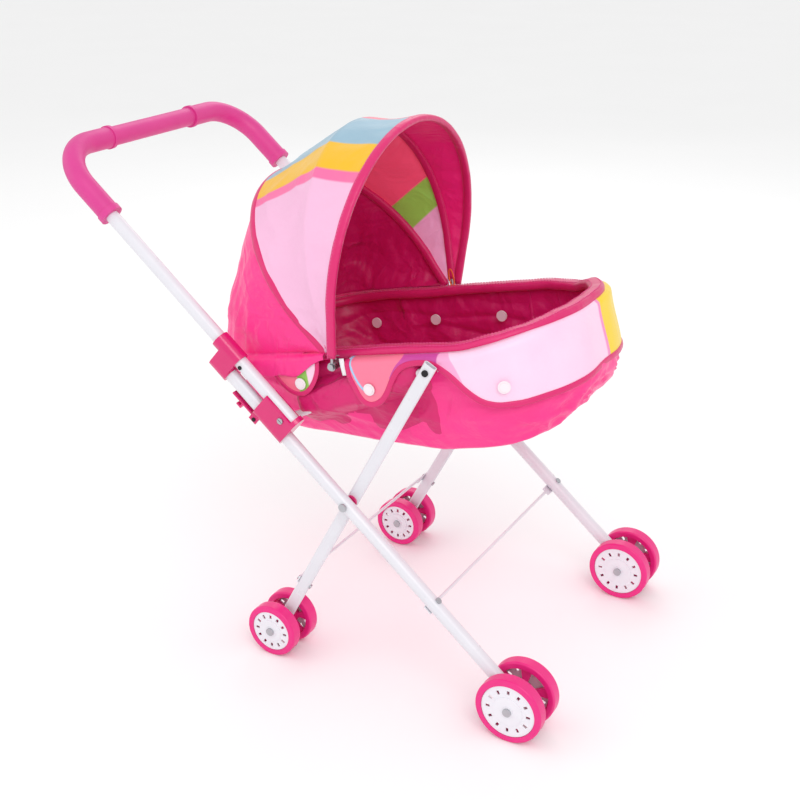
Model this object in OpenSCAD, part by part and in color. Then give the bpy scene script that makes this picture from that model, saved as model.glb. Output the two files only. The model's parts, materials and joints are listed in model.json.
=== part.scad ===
// Folding doll pram: X-shaped tube frame, hanging fabric carrycot with a hood, eight wheels.
// Frame: +X to the front wheels, +Y to the pram's left, +Z up, millimetres.
// The origin is on the floor under the middle of the whole pram.

/* [Frame] */
// Distance between the centrelines of the two front legs
leg_spacing = 276; // [240:1:335]
// Angle of the front legs above the floor
leg_lean = 40.8; // [38:0.1:44]
// Outer diameter of the front leg and handle tubes
tube_d = 13; // [12:0.1:15]
// Wall of the steel tubes
tube_wall = 0.8; // [0.6:0.1:1.2]
// Length of the front leg from its axle to its top end
front_leg_l = 408; // [400:1:440]
// Distance between the front and rear axles
wheelbase = 261; // [240:1:290]
// Distance from the front axle up the front leg to the crossing pivot
crossing_s = 232; // [215:1:250]
// Distance from the crossing pivot up the rear leg to its top pivot
rear_leg_rise = 160; // [145:1:175]
// Width of the flat-oval rear leg
rear_leg_w = 12.5; // [11:0.1:14]
// Thickness of the flat-oval rear leg
rear_leg_t = 5.5; // [4.5:0.1:6]
// Diameter of the seat rail
rail_d = 7; // [6:0.5:8.5]
// Diameter of the two thin cross braces
brace_d = 3; // [2:0.5:4]
// Distance from the front axle up the front leg to the front brace
front_brace_s = 112; // [90:1:140]
// Distance from the rear axle up the rear leg to the rear brace
rear_brace_s = 60; // [50:1:80]

/* [Handle] */
// Distance between the front leg's centreline and the handle tube's
handle_gap = 18.2; // [17:0.1:22]
// Distance from the front axle up to the handle tube's lower end
handle_low_s = 320; // [300:1:330]
// Distance from the front axle up to the middle of the handle bar
handle_bar_s = 660; // [600:1:790]
// Bend radius of the handle's corners
handle_bend_r = 45; // [35:1:55]
// Outer diameter of the moulded corner grips
grip_d = 21; // [19:0.5:24]
// Length of each grip's straight lower part
grip_tail = 38; // [30:1:60]
// Distance from the middle of the handle bar to each corner grip's collar
grip_collar_y = 62; // [50:1:75]

/* [Slide brackets] */
// Distance from the front axle up to the lower bracket's bottom face
bracket_s = 315; // [300:1:318]
// Height of the lower bracket along the tube
bracket_l = 38; // [36:1:42]
// Distance from the front axle up to the guide's bottom face
guide_s = 393; // [385:1:396]
// Height of the guide along the tube
guide_l = 30; // [26:1:36]
// Running clearance around a sliding tube or turning pin
run_gap = 0.06; // [0.03:0.01:0.09]

/* [Wheels] */
// Diameter of the front wheels
front_wheel_d = 64; // [53:1:77]
// Diameter of the rear wheels
rear_wheel_d = 54; // [50:1:64]
// Width of a wheel
wheel_w = 13; // [11:0.5:15]
// Distance from a leg's centreline to the near face of its wheels
wheel_gap = 8.8; // [8:0.1:10]
// Diameter of the axles
axle_d = 5; // [4:0.5:6]

/* [Basket] */
// Upward pitch of the basket's rim towards the front
basket_pitch = 12.2; // [8:0.1:14]
// Distance from the top pivot forward to the basket's tip
basket_front = 104; // [96:1:122]
// Distance from the top pivot back to the basket's tail
basket_back = 250; // [210:1:262]
// Height of the rim's top edge above the top pivot
rim_h = 17; // [15:0.5:20]
// Depth from the rim's top edge to the underside of the basket
basket_depth = 101; // [84:1:112]
// Thickness of the doubled nylon
cloth_t = 1.6; // [1:0.1:2.5]
// Diameter of the steel hoop in the rim
hoop_d = 4; // [3:0.5:4.5]
// Diameter of the snap buttons
snap_d = 11; // [8:0.5:12]

/* [Hood] */
// Distance from the top pivot back to the hood's pivot, along the rim
hood_back_x = 100; // [90:1:110]
// Height of the hood's pivot above the top pivot, square to the rim
hood_up_z = 6; // [5:0.5:6.5]
// Length of the front and middle hood bows' sides, below the round top
bow_leg = 72; // [60:1:86]
// How far each hood bow's side leans outwards
bow_flare = 9; // [0:1:11]
// Diameter of the hood bow wire
bow_d = 3; // [2:0.1:3]
// Forward lean of the front bow
front_bow_lean = 5; // [0:1:15]
// Backward lean of the middle bow
middle_bow_lean = 12; // [8:1:20]
// Backward lean of the rear bow
rear_bow_lean = 42; // [35:1:50]

/* [Hidden] */
$fn = 48;
SMALL = 0.01;

// Heights and places of the axles and the crossing, worked from the front axle
front_r = front_wheel_d / 2;
rear_r = rear_wheel_d / 2;
tube_r = tube_d / 2;
grip_r = grip_d / 2;
collar_rise = 1;
bar_behind = handle_bar_s * cos(leg_lean) - handle_gap * sin(leg_lean) + grip_r + collar_rise;
front_x = (bar_behind - front_r) / 2;
rear_x = front_x - wheelbase;
cross_x = front_x - crossing_s * cos(leg_lean);
cross_z = front_r + crossing_s * sin(leg_lean);
rear_lean = atan2(cross_z - rear_r, cross_x - rear_x);
rear_cross_s = norm([cross_x - rear_x, cross_z - rear_r]);
rear_top_s = rear_cross_s + rear_leg_rise;
top_x = cross_x + rear_leg_rise * cos(rear_lean);
top_z = cross_z + rear_leg_rise * sin(rear_lean);

// Layers from the front leg inwards, on the left side
leg_y = leg_spacing / 2;
bracket_wall = 1.5;
bracket_in_y = leg_y - tube_r - run_gap - bracket_wall;
rear_leg_gap = 2;
rear_leg_out_y = leg_y - tube_r - rear_leg_gap;
rear_leg_y = rear_leg_out_y - rear_leg_t / 2;
rear_leg_in_y = rear_leg_out_y - rear_leg_t;
top_spacer_t = 5.5;
rail_y = rear_leg_in_y - top_spacer_t - rail_d / 2;
lug_t = 2;
hoop_y = rail_y - rail_d / 2 - 1 - hoop_d / 2;
lug_y = hoop_y;
valance_t = 1.2;
valance_y = rear_leg_in_y - 3.6;
snap_t = 1.9;

// Rivets, screws and holes
rivet_d = 4;
rivet_head_d = 8;
rivet_head_t = 1.5;
small_rivet_d = 3;
small_head_d = 6;
small_head_t = 1.2;
leg_foot = 9;
brace_plate_t = 1.2;
brace_plate_w = 9;
spacer_d = 12;

// Grip ends, collars and the pin that stops the handle from being pulled up
grip_tail_s = handle_bar_s - handle_bend_r - grip_tail;
grip_end_l = 6;
collar_t = 4;
stop_pin_drop = 4;

// The seat rail's rear end, as distances along and square to the front leg
peg_s = 328;
peg_n = 4;
peg_d = 5;
peg_x = front_x - peg_s * cos(leg_lean) + peg_n * sin(leg_lean);
peg_z = front_r + peg_s * sin(leg_lean) + peg_n * cos(leg_lean);
rail_l = norm([top_x - peg_x, top_z - peg_z]);
rail_angle = atan2(top_z - peg_z, top_x - peg_x);
hook_gap = 0.4;
hook_r = 5.5;

// Latch lever on the lower bracket, as distances from the bracket's bottom
latch_s = bracket_s + bracket_l - 5;
latch_n = tube_r + 4.8;
latch_w = 7.6;
latch_l = 32;
latch_t = 1.8;
latch_pin_d = 2;
latch_barrel_d = 5.2;
ear_gap = 0.4;
ear_t = 1.5;

// Basket outline
rim_t = 8;
rim_band = 9;
rim_half_w = hoop_y + hoop_d / 2 + 0.3;
wall_half_w = lug_y - lug_t / 2 - rivet_head_t - 0.6;
front_corner_r = 98;
rear_corner_r = 58;
wall_gap = 0.4;

// Printed flaps: where they start and end either side of the top pivot, and how low they hang
valance_rear_x = -86;
valance_arch = 17;
valance_low = 49;
nose_x = basket_front - front_corner_r;
lobes = [
    [-172, -114, valance_low - 12],
    [valance_rear_x, -valance_arch - 12, valance_low - 2]
];

// Snap buttons: distances along the rim, and their depth under its top edge
outer_snap_spots = [[-65, 33], [-138, 26]];
front_snap_depth = 38;
front_snap_turn = 30;
inner_snap_x = [-38, -115, -188];
inner_snap_depth = 32;

// Hood pivot and bows
hood_x = top_x - hood_back_x * cos(basket_pitch) - hood_up_z * sin(basket_pitch);
hood_z = top_z - hood_back_x * sin(basket_pitch) + hood_up_z * cos(basket_pitch);
bow_eye_d = 8;
rear_bow_leg = bow_leg - 6;
rear_bow_y = rim_half_w + 0.5 + bow_d / 2;
// A bow's side leans out past its neighbour's eye, so the eyes stand this far apart
bow_pitch = bow_d + 0.3 + bow_eye_d / 2 * tan(flare_angle(rear_bow_y, bow_leg));
middle_bow_y = rear_bow_y + bow_pitch;
front_bow_y = middle_bow_y + bow_pitch;
canopy_t = 1;
canopy_y = front_bow_y + bow_d / 2 + 0.4;

// ---- Helpers ----

// Children on the pram's left side, or mirrored to its right
module on_side(side) {
    if (side > 0) children();
    else mirror([0, 1, 0]) children();
}

// Children on both sides
module both_sides() {
    children();
    mirror([0, 1, 0]) children();
}

// Local Z runs up the front leg from its axle, local X points square out of it, forwards
module on_front_leg(s = 0, n = 0) {
    translate([front_x, 0, front_r]) rotate([0, leg_lean - 90, 0]) translate([n, 0, s]) children();
}

// Local Z runs up the rear leg from its axle, local X points square out of it, forwards
module on_rear_leg(s = 0, n = 0) {
    translate([rear_x, 0, rear_r]) rotate([0, 90 - rear_lean, 0]) translate([n, 0, s]) children();
}

// Local X runs forwards along the rim from the top pivot, local Z square to the rim
module on_basket(x = 0, z = 0) {
    translate([top_x, 0, top_z]) rotate([0, -basket_pitch, 0]) translate([x, 0, z]) children();
}

// Local Z runs up a hood bow from the hood's pivot
module on_hood(lean) {
    translate([hood_x, 0, hood_z]) rotate([0, lean, 0]) children();
}

// Round rod along Y
module rod_y(d, from, to) {
    translate([0, from, 0]) rotate([-90, 0, 0]) cylinder(d = d, h = to - from);
}

// Rivet along Y with a flat round head at each end of the grip
module rivet_y(d, from, to, head_d, head_t) {
    rod_y(d, from, to);
    rod_y(head_d, from - head_t, from);
    rod_y(head_d, to, to + head_t);
}

// Rivet along X through a tube of width w centred on the origin
module rivet_x(d, low, high, head_d, head_t) {
    rotate([0, 90, 0]) translate([0, 0, low]) cylinder(d = d, h = high - low);
    rotate([0, 90, 0]) translate([0, 0, low - head_t]) cylinder(d = head_d, h = head_t);
    rotate([0, 90, 0]) translate([0, 0, high]) cylinder(d = head_d, h = head_t);
}

// ---- Front frame ----

module front_leg(side) {
    color("white") on_side(side) on_front_leg() translate([0, leg_y, 0]) difference() {
        translate([0, 0, -leg_foot]) cylinder(d = tube_d, h = front_leg_l + leg_foot);
        translate([0, 0, -leg_foot - 1])
            cylinder(d = tube_d - 2 * tube_wall, h = front_leg_l + leg_foot + 2);
        rod_y(axle_d + 2 * run_gap, -tube_d, tube_d);
        translate([0, 0, crossing_s]) rod_y(rivet_d + 2 * run_gap, -tube_d, tube_d);
        translate([0, 0, front_brace_s]) rotate([0, 90, 0])
            cylinder(d = small_rivet_d + 2 * run_gap, h = 2 * tube_d, center = true);
    }
}

// Thin rod with flattened ends riveted under the front legs
module front_brace() {
    plate_n = -tube_r - brace_plate_t;
    color("white") on_front_leg(front_brace_s) difference() {
        union() {
            translate([plate_n + brace_plate_t - brace_d / 2, 0, 0])
                rod_y(brace_d, -leg_y + brace_plate_w, leg_y - brace_plate_w);
            both_sides() translate([plate_n, leg_y - brace_plate_w - brace_d, -brace_plate_w / 2])
                cube([brace_plate_t, brace_plate_w * 1.5 + brace_d, brace_plate_w]);
        }
        both_sides() translate([plate_n, leg_y, 0]) rotate([0, 90, 0])
            cylinder(d = small_rivet_d + 2 * run_gap, h = 4 * brace_plate_t, center = true);
    }
}

module front_brace_rivets() {
    color("dimgray") on_front_leg(front_brace_s) both_sides() translate([0, leg_y, 0])
        rivet_x(small_rivet_d, -tube_r - brace_plate_t, tube_r, small_head_d, small_head_t);
}

// Tube through the front leg, the spacer and the rear leg at the crossing
module pivot_rivets() {
    color("dimgray") both_sides() translate([cross_x, 0, cross_z])
        rivet_y(rivet_d, rear_leg_in_y - 0.1, leg_y + tube_r, rivet_head_d, rivet_head_t);
}

// Moulded guide that caps the front leg and lets the handle tube slide through
module guide(side) {
    wall = 2.2;
    color("deeppink") on_side(side) on_front_leg(guide_s) translate([0, leg_y, 0]) difference() {
        intersection() {
            union() {
                cylinder(r = tube_r + wall, h = guide_l * 0.72);
                translate([handle_gap, 0, 1]) cylinder(r = tube_r + wall, h = guide_l - 1);
                translate([0, -tube_r - wall, 1]) cube([handle_gap, tube_d + 2 * wall, guide_l * 0.72 - 1]);
            }
            translate([-2 * tube_d, bracket_in_y - leg_y, -1]) cube([5 * tube_d, 3 * tube_d, guide_l + 2]);
        }
        translate([handle_gap, 0, -1]) cylinder(d = tube_d + 2 * run_gap, h = guide_l + 2);
        translate([0, 0, -1]) cylinder(d = tube_d + 2 * run_gap, h = 1 + front_leg_l - guide_s + run_gap);
    }
}

// Axle pins with domed heads, one through the foot of each leg
module axle_pair(y) {
    half = wheel_gap + wheel_w + 0.6;
    head_t = 1.6;
    both_sides() translate([0, y, 0])
        rivet_y(axle_d, -half, half, axle_d + 3, head_t);
}

module front_axles() {
    color("silver") translate([front_x, 0, front_r]) axle_pair(leg_y);
}

// ---- Handle ----

// U-shaped bar in the handle's plane, of diameter d, from the given low end
module handle_u(d, low) {
    side_l = handle_bar_s - handle_bend_r - low;
    both_sides() {
        translate([0, leg_y, low]) cylinder(d = d, h = side_l);
        translate([0, leg_y - handle_bend_r, handle_bar_s - handle_bend_r]) rotate([90, 0, 90])
            rotate_extrude(angle = 90) translate([handle_bend_r, 0]) circle(d = d);
    }
    translate([0, 0, handle_bar_s]) rod_y(d, -leg_y + handle_bend_r, leg_y - handle_bend_r);
}

module handle_tube() {
    color("white") on_front_leg(0, handle_gap) difference() {
        handle_u(tube_d, handle_low_s);
        handle_u(tube_d - 2 * tube_wall, handle_low_s - 1);
        both_sides() translate([0, leg_y, 0]) {
            translate([-handle_gap / 5, 0, peg_s]) rod_y(small_rivet_d + 2 * run_gap, 0, tube_d);
            translate([0, 0, guide_s - stop_pin_drop]) rod_y(small_rivet_d + 2 * run_gap, 0, tube_d);
        }
    }
}

// Moulded corner grip with a stepped lower end and a collar on the bar
module grip(side) {
    color("hotpink") on_side(side) on_front_leg(0, handle_gap) difference() {
        union() {
            translate([0, leg_y, grip_tail_s]) cylinder(d = grip_d, h = grip_tail);
            translate([0, leg_y, grip_tail_s]) cylinder(d = grip_d + 2 * collar_rise, h = grip_end_l);
            translate([0, leg_y - handle_bend_r, handle_bar_s - handle_bend_r]) rotate([90, 0, 90])
                rotate_extrude(angle = 90) translate([handle_bend_r, 0]) circle(d = grip_d);
            translate([0, 0, handle_bar_s]) rod_y(grip_d, grip_collar_y, leg_y - handle_bend_r);
            translate([0, 0, handle_bar_s])
                rod_y(grip_d + 2 * collar_rise, grip_collar_y, grip_collar_y + collar_t);
        }
        handle_u(tube_d + 2 * run_gap, grip_tail_s - 1);
    }
}

// Thinner sleeve between the collars
module grip_centre() {
    color("hotpink") on_front_leg(handle_bar_s, handle_gap) difference() {
        rod_y(grip_d - 2, -grip_collar_y, grip_collar_y);
        rod_y(tube_d + 2 * run_gap, -grip_collar_y - 1, grip_collar_y + 1);
    }
}

// Pins in the handle tube: a stop just under the guide, on both sides
module stop_pins() {
    color("black") on_front_leg(guide_s - stop_pin_drop, handle_gap) both_sides()
        translate([0, leg_y, 0]) {
            rod_y(small_rivet_d, tube_r - 2.5, tube_r);
            rod_y(small_rivet_d + 1, tube_r, tube_r + 0.8);
        }
}

// Moulded bracket screwed to the handle tube, sliding on the front leg
module bracket(side) {
    wall = 2.2;
    floor_t = handle_low_s - bracket_s;
    inner = bracket_in_y - leg_y;
    color("deeppink") on_side(side) on_front_leg(bracket_s) translate([0, leg_y, 0]) difference() {
        union() {
            intersection() {
                union() {
                    cylinder(r = tube_r + wall, h = bracket_l);
                    translate([handle_gap, 0, 0]) cylinder(r = tube_r + wall, h = bracket_l);
                    translate([0, -tube_r - wall, 0]) cube([handle_gap, tube_d + 2 * wall, bracket_l]);
                }
                translate([-2 * tube_d, inner, -1]) cube([5 * tube_d, 3 * tube_d, bracket_l + 2]);
            }
            both_sides() translate([-latch_n - 3, latch_w / 2 + ear_gap, latch_s - bracket_s - 4])
                cube([latch_n + 3 - tube_r + 0.6, ear_t, 9]);
            translate([peg_n, 0, peg_s - bracket_s]) rod_y(2 * hook_r, inner - 3.3, inner + 0.5);
        }
        translate([0, 0, -1]) cylinder(d = tube_d + 2 * run_gap, h = bracket_l + 2);
        translate([handle_gap, 0, floor_t - run_gap]) cylinder(d = tube_d + 2 * run_gap, h = bracket_l);
        translate([handle_gap + tube_r * 0.4, -tube_d, floor_t - run_gap])
            cube([tube_d, 2 * tube_d, bracket_l]);
        translate([-2 * tube_d, -latch_w / 2 - ear_gap, latch_s - bracket_s - 6])
            cube([2 * tube_d - tube_r - wall + 0.4, latch_w + 2 * ear_gap, bracket_l]);
        translate([-latch_n, 0, latch_s - bracket_s])
            rod_y(latch_pin_d + 2 * run_gap, -tube_d, tube_d);
        translate([handle_gap * 0.8, 0, peg_s - bracket_s])
            rod_y(small_rivet_d + 2 * run_gap, 0, 2 * tube_d);
        // Hook that holds the seat rail's peg, open up the leg
        translate([peg_n, 0, peg_s - bracket_s])
            rod_y(peg_d + 2 * hook_gap, inner - 4, inner);
        translate([peg_n - peg_d / 2 - hook_gap, inner - 4, peg_s - bracket_s])
            cube([peg_d + 2 * hook_gap, 4, 2 * hook_r]);
    }
}

module bracket_screws() {
    head_t = 1.4;
    slot_w = 0.8;
    seat = tube_r + 2.2;
    color("silver") on_front_leg(peg_s, handle_gap * 0.8) both_sides() translate([0, leg_y, 0])
        difference() {
            union() {
                rod_y(small_rivet_d, tube_r - 2.5, seat);
                rod_y(small_head_d, seat, seat + head_t);
            }
            translate([-slot_w / 2, seat + head_t / 2, -small_head_d]) cube([slot_w, head_t, 2 * small_head_d]);
        }
}

module latch_pins() {
    half = latch_w / 2 + ear_gap + ear_t;
    color("black") on_front_leg(latch_s, -latch_n) both_sides() translate([0, leg_y, 0])
        rivet_y(latch_pin_d, -half, half, latch_pin_d + 2, 0.8);
}

// Springy lever behind the bracket, with a finger tab
module latch_lever(side) {
    tab_s = 17;
    tab_l = 6;
    color("mediumvioletred") on_side(side) on_front_leg(latch_s, -latch_n) translate([0, leg_y, 0])
        difference() {
            union() {
                rod_y(latch_barrel_d, -latch_w / 2, latch_w / 2);
                translate([0, -latch_w / 2, 0]) cube([latch_t, latch_w, latch_l]);
                translate([-5, -latch_w / 2, tab_s]) cube([5 + latch_t, latch_w, latch_t]);
                translate([-5, -latch_w / 2, tab_s]) cube([latch_t, latch_w, tab_l]);
            }
            rod_y(latch_pin_d + 2 * run_gap, -latch_w, latch_w);
        }
}

// ---- Rear legs ----

// Flat-oval outline, w by t
module flat_oval(w, t) {
    square([w - t, t], center = true);
    for (end = [-1, 1]) translate([end * (w - t) / 2, 0]) circle(d = t);
}

module rear_leg(side) {
    head_room = 8;
    color("white") on_side(side) on_rear_leg() translate([0, rear_leg_y, 0]) difference() {
        translate([0, 0, -leg_foot])
            linear_extrude(height = rear_top_s + leg_foot + head_room) flat_oval(rear_leg_w, rear_leg_t);
        translate([0, 0, -leg_foot - 1]) linear_extrude(height = rear_top_s + leg_foot + head_room + 2)
            flat_oval(rear_leg_w - 2 * tube_wall, rear_leg_t - 2 * tube_wall);
        rod_y(axle_d + 2 * run_gap, -tube_d, tube_d);
        for (s = [rear_cross_s, rear_top_s]) translate([0, 0, s])
            rod_y(rivet_d + 2 * run_gap, -tube_d, tube_d);
        translate([0, 0, rear_brace_s]) rotate([0, 90, 0])
            cylinder(d = small_rivet_d + 2 * run_gap, h = 2 * tube_d, center = true);
    }
}

module rear_brace() {
    plate_n = -rear_leg_w / 2 - brace_plate_t;
    color("white") on_rear_leg(rear_brace_s) difference() {
        union() {
            translate([plate_n + brace_plate_t - brace_d / 2, 0, 0])
                rod_y(brace_d, -rear_leg_y + brace_plate_w, rear_leg_y - brace_plate_w);
            both_sides()
                translate([plate_n, rear_leg_y - brace_plate_w - brace_d, -brace_plate_w / 2])
                cube([brace_plate_t, brace_plate_w * 1.3 + brace_d, brace_plate_w]);
        }
        both_sides() translate([plate_n, rear_leg_y, 0]) rotate([0, 90, 0])
            cylinder(d = small_rivet_d + 2 * run_gap, h = 4 * brace_plate_t, center = true);
    }
}

module rear_brace_rivets() {
    color("dimgray") on_rear_leg(rear_brace_s) both_sides() translate([0, rear_leg_y, 0])
        rivet_x(small_rivet_d, -rear_leg_w / 2 - brace_plate_t, rear_leg_w / 2, small_head_d - 1,
            small_head_t);
}

// Plastic spacers: one between the legs at the crossing, one between leg and seat rail
module leg_spacers() {
    color("deeppink") both_sides() {
        translate([cross_x, 0, cross_z]) difference() {
            rod_y(spacer_d, rear_leg_out_y, rear_leg_out_y + rear_leg_gap - 0.1);
            rod_y(rivet_d + 2 * run_gap, 0, leg_y);
        }
        translate([top_x, 0, top_z]) difference() {
            rod_y(spacer_d, rear_leg_in_y - top_spacer_t + 0.1, rear_leg_in_y);
            rod_y(rivet_d + 2 * run_gap, 0, leg_y);
        }
    }
}

module top_rivets() {
    color("black") both_sides() translate([top_x, 0, top_z])
        rivet_y(rivet_d, lug_y - lug_t / 2 - 0.1, rear_leg_out_y, small_head_d, rivet_head_t);
}

module rear_axles() {
    color("silver") translate([rear_x, 0, rear_r]) axle_pair(rear_leg_y);
}

// ---- Basket ----

// Rail from the top pivot down to the bracket's hook, with a peg at its rear end
module seat_rail(side) {
    color("white") on_side(side) translate([top_x, rail_y, top_z]) difference() {
        union() {
            rotate([0, -90 - rail_angle, 0]) cylinder(d = rail_d, h = rail_l);
            rod_y(rail_d + 3, -rail_d / 2, rail_d / 2);
            rotate([0, -90 - rail_angle, 0]) translate([0, 0, rail_l])
                rod_y(rail_d, -rail_d / 2, rail_d / 2);
            rotate([0, -90 - rail_angle, 0]) translate([0, 0, rail_l])
                rod_y(peg_d, 0, bracket_in_y - rail_y - 0.6);
        }
        rod_y(rivet_d + 2 * run_gap, -rail_d, rail_d);
    }
}

// Rounded outline of the basket, inset by the given amount at the sides, front and back
module basket_outline(half_w, front, back) {
    nose_r = min(front_corner_r, half_w - 1);
    tail_r = min(rear_corner_r, half_w - 1);
    hull() {
        for (side = [-1, 1]) {
            translate([front - nose_r, side * (half_w - nose_r)]) circle(r = nose_r, $fn = 64);
            translate([-back + tail_r, side * (half_w - tail_r)]) circle(r = tail_r, $fn = 64);
        }
    }
}

// Wire loop along the rim, of diameter d
module rim_wire(d) {
    half_w = hoop_y;
    inset = rim_half_w - hoop_y;
    front = basket_front - inset;
    back = basket_back - inset;
    for (end = [[front - front_corner_r, front_corner_r, 0], [-back + rear_corner_r, rear_corner_r, 180]]) {
        for (side = [-1, 1])
            translate([end[0], side * (half_w - end[1]), 0])
                rotate([0, 0, end[2] == 0 ? (side > 0 ? 0 : -90) : (side > 0 ? 90 : 180)])
                rotate_extrude(angle = 90) translate([end[1], 0]) circle(d = d);
    }
    for (side = [-1, 1]) translate([-back + rear_corner_r, side * half_w, 0]) rotate([0, 90, 0])
        cylinder(d = d, h = front + back - front_corner_r - rear_corner_r);
    translate([front, 0, 0]) rod_y(d, -half_w + front_corner_r, half_w - front_corner_r);
    translate([-back, 0, 0]) rod_y(d, -half_w + rear_corner_r, half_w - rear_corner_r);
}

hoop_z = rim_h - rim_t / 2;
lug_w = 9;

// Steel hoop with two pairs of lugs: at the top pivots and at the hood's pivots
module rim_hoop() {
    color("lightgray") on_basket() difference() {
        union() {
            translate([0, 0, hoop_z]) rim_wire(hoop_d);
            both_sides() translate([0, lug_y - lug_t / 2, 0]) {
                translate([-lug_w / 2, 0, 0]) cube([lug_w, lug_t, hoop_z]);
                rod_y(lug_w, 0, lug_t);
                translate([-hood_back_x - lug_w / 2, 0, hood_up_z]) cube([lug_w, lug_t, hoop_z - hood_up_z]);
                translate([-hood_back_x, 0, hood_up_z]) rod_y(lug_w, 0, lug_t);
            }
        }
        both_sides() {
            rod_y(rivet_d + 2 * run_gap, 0, leg_y);
            translate([-hood_back_x, 0, hood_up_z]) rod_y(small_rivet_d + 2 * run_gap, 0, leg_y);
        }
    }
}

// Sewn channel around the hoop
module rim_binding() {
    color("mediumvioletred") on_basket() difference() {
        translate([0, 0, rim_h - rim_t]) linear_extrude(height = rim_t) difference() {
            basket_outline(rim_half_w, basket_front, basket_back);
            basket_outline(rim_half_w - rim_band, basket_front - rim_band, basket_back - rim_band);
        }
        translate([0, 0, hoop_z]) rim_wire(hoop_d + 2 * wall_gap);
        both_sides() translate([0, lug_y - lug_t / 2 - wall_gap, -1]) {
            translate([-lug_w / 2 - wall_gap, 0, 0]) cube([lug_w + 2 * wall_gap, lug_t + 2 * wall_gap, hoop_z + 1]);
            translate([-hood_back_x - lug_w / 2 - wall_gap, 0, 0])
                cube([lug_w + 2 * wall_gap, lug_t + 2 * wall_gap, hoop_z + 1]);
        }
    }
}

tub_top = rim_h - rim_t - wall_gap;
tub_bottom = rim_h - basket_depth;
belly_z = tub_bottom + basket_depth * 0.38;

// The tub's floor tilts against the rim, about this distance back from the top pivot
floor_tilt = 8;
floor_x = -22;
floor_front = 17;
floor_back = basket_back - 72;
floor_half_w = wall_half_w - 22;

// The part of the tub's underside that slopes up to the nose
nose_tilt = 15;
nose_under_x = basket_front * 0.58;
nose_under_rise = 7;

// Solid of the hanging tub, drawn in by the given wall
module tub_form(wall, lift) {
    hull() {
        translate([0, 0, tub_top + lift - 1]) linear_extrude(height = 1)
            basket_outline(wall_half_w - wall, basket_front - rim_band + 2 - wall, basket_back - rim_band + 2 - wall);
        translate([0, 0, belly_z]) linear_extrude(height = 1)
            basket_outline(wall_half_w - 8 - wall, basket_front - 2 - wall, basket_back - 18 - wall);
        translate([floor_x, 0, tub_bottom]) rotate([0, floor_tilt, 0]) translate([0, 0, wall])
            linear_extrude(height = 1) basket_outline(floor_half_w - wall, floor_front - wall, floor_back - wall);
        translate([nose_under_x, 0, tub_bottom + nose_under_rise]) rotate([0, -nose_tilt, 0])
            translate([0, 0, wall]) linear_extrude(height = 1)
            square([2 * nose_under_rise + 26 - 2 * wall, wall_half_w * 1.15 - 2 * wall], center = true);
    }
}

// Fabric tub that hangs from the rim
module tub() {
    color("mediumvioletred") on_basket() difference() {
        tub_form(0, 0);
        tub_form(cloth_t, 2);
    }
}

board_inset = 6;
board_t = 2;

// Stiff board that keeps the tub's floor flat
module base_board() {
    color("mediumvioletred") on_basket(floor_x, tub_bottom) rotate([0, floor_tilt, 0])
        translate([0, 0, cloth_t + wall_gap]) linear_extrude(height = board_t)
        basket_outline(floor_half_w - board_inset, floor_front - board_inset, floor_back - board_inset);
}

// Depth of a lobe at the share u of its length
function lobe_depth(u, depth) = depth * pow(sin(180 * min(max(u, 0), 1)), 0.45);

module lobe_shape(start, end, depth) {
    steps = 24;
    polygon(concat(
        [[start, rim_h - 1], [start, rim_h - 4]],
        [for (i = [1 : steps - 1]) let (x = start + (end - start) * i / steps)
            [x, rim_h - 4 - lobe_depth((x - start) / (end - start), depth - 4)]],
        [[end, rim_h - 4], [end, rim_h - 1]]
    ));
}

// Printed lobes that hang over the rim on one side
module valance(side) {
    color("pink") on_side(side) on_basket() {
        for (lobe = lobes) {
            translate([0, valance_y + valance_t, 0]) rotate([90, 0, 0]) linear_extrude(height = valance_t)
                lobe_shape(lobe[0], lobe[1], lobe[2]);
        }
        translate([valance_rear_x, rim_half_w + 0.2, rim_h - 2.2])
            cube([nose_x - valance_rear_x, valance_y + valance_t - rim_half_w - 0.2, 1.2]);
        translate([lobes[0][0], rim_half_w + 0.2, rim_h - 2.2])
            cube([lobes[0][1] - lobes[0][0], valance_y + valance_t - rim_half_w - 0.2, 1.2]);
    }
}

// The printed flap around the basket's tip
module valance_front() {
    reach = valance_y + valance_t - rim_half_w;
    color("pink") on_basket() intersection() {
        union() {
            translate([0, 0, rim_h - valance_low]) linear_extrude(height = valance_low - 1) difference() {
                basket_outline(rim_half_w + reach, basket_front + 6, basket_back);
                basket_outline(rim_half_w + reach - valance_t, basket_front + 6 - valance_t, basket_back);
            }
            translate([0, 0, rim_h - 2.2]) linear_extrude(height = 1.2) difference() {
                basket_outline(rim_half_w + reach, basket_front + 6, basket_back);
                basket_outline(rim_half_w + 0.2, basket_front + 0.2, basket_back);
            }
        }
        rotate([90, 0, 0]) linear_extrude(height = 2 * leg_spacing, center = true) polygon([
            [nose_x + 0.4, rim_h], [nose_x + 0.4, rim_h - 4], [valance_arch + 20, rim_h - valance_low],
            [2 * basket_front, rim_h - valance_low], [2 * basket_front, rim_h]
        ]);
    }
}

// Domed button on a surface at the given distance along Y
module snap_button(y) {
    rod_y(snap_d, y + 0.1, y + snap_t * 0.6);
    rod_y(snap_d * 0.7, y + snap_t * 0.5, y + snap_t);
}

module outer_snaps() {
    nose_out = valance_y + valance_t;
    color("whitesmoke") on_basket() both_sides() {
        for (spot = outer_snap_spots) translate([spot[0], 0, rim_h - spot[1]]) snap_button(nose_out);
        translate([basket_front + 6 - front_corner_r, nose_out - front_corner_r, rim_h - front_snap_depth])
            rotate([0, 0, -front_snap_turn]) snap_button(front_corner_r);
    }
}

// Half width of the tub's inside at the depth of the inner snaps
inner_wall_y = wall_half_w - cloth_t - 8 * (inner_snap_depth - rim_t) / (tub_top - belly_z);

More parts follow.
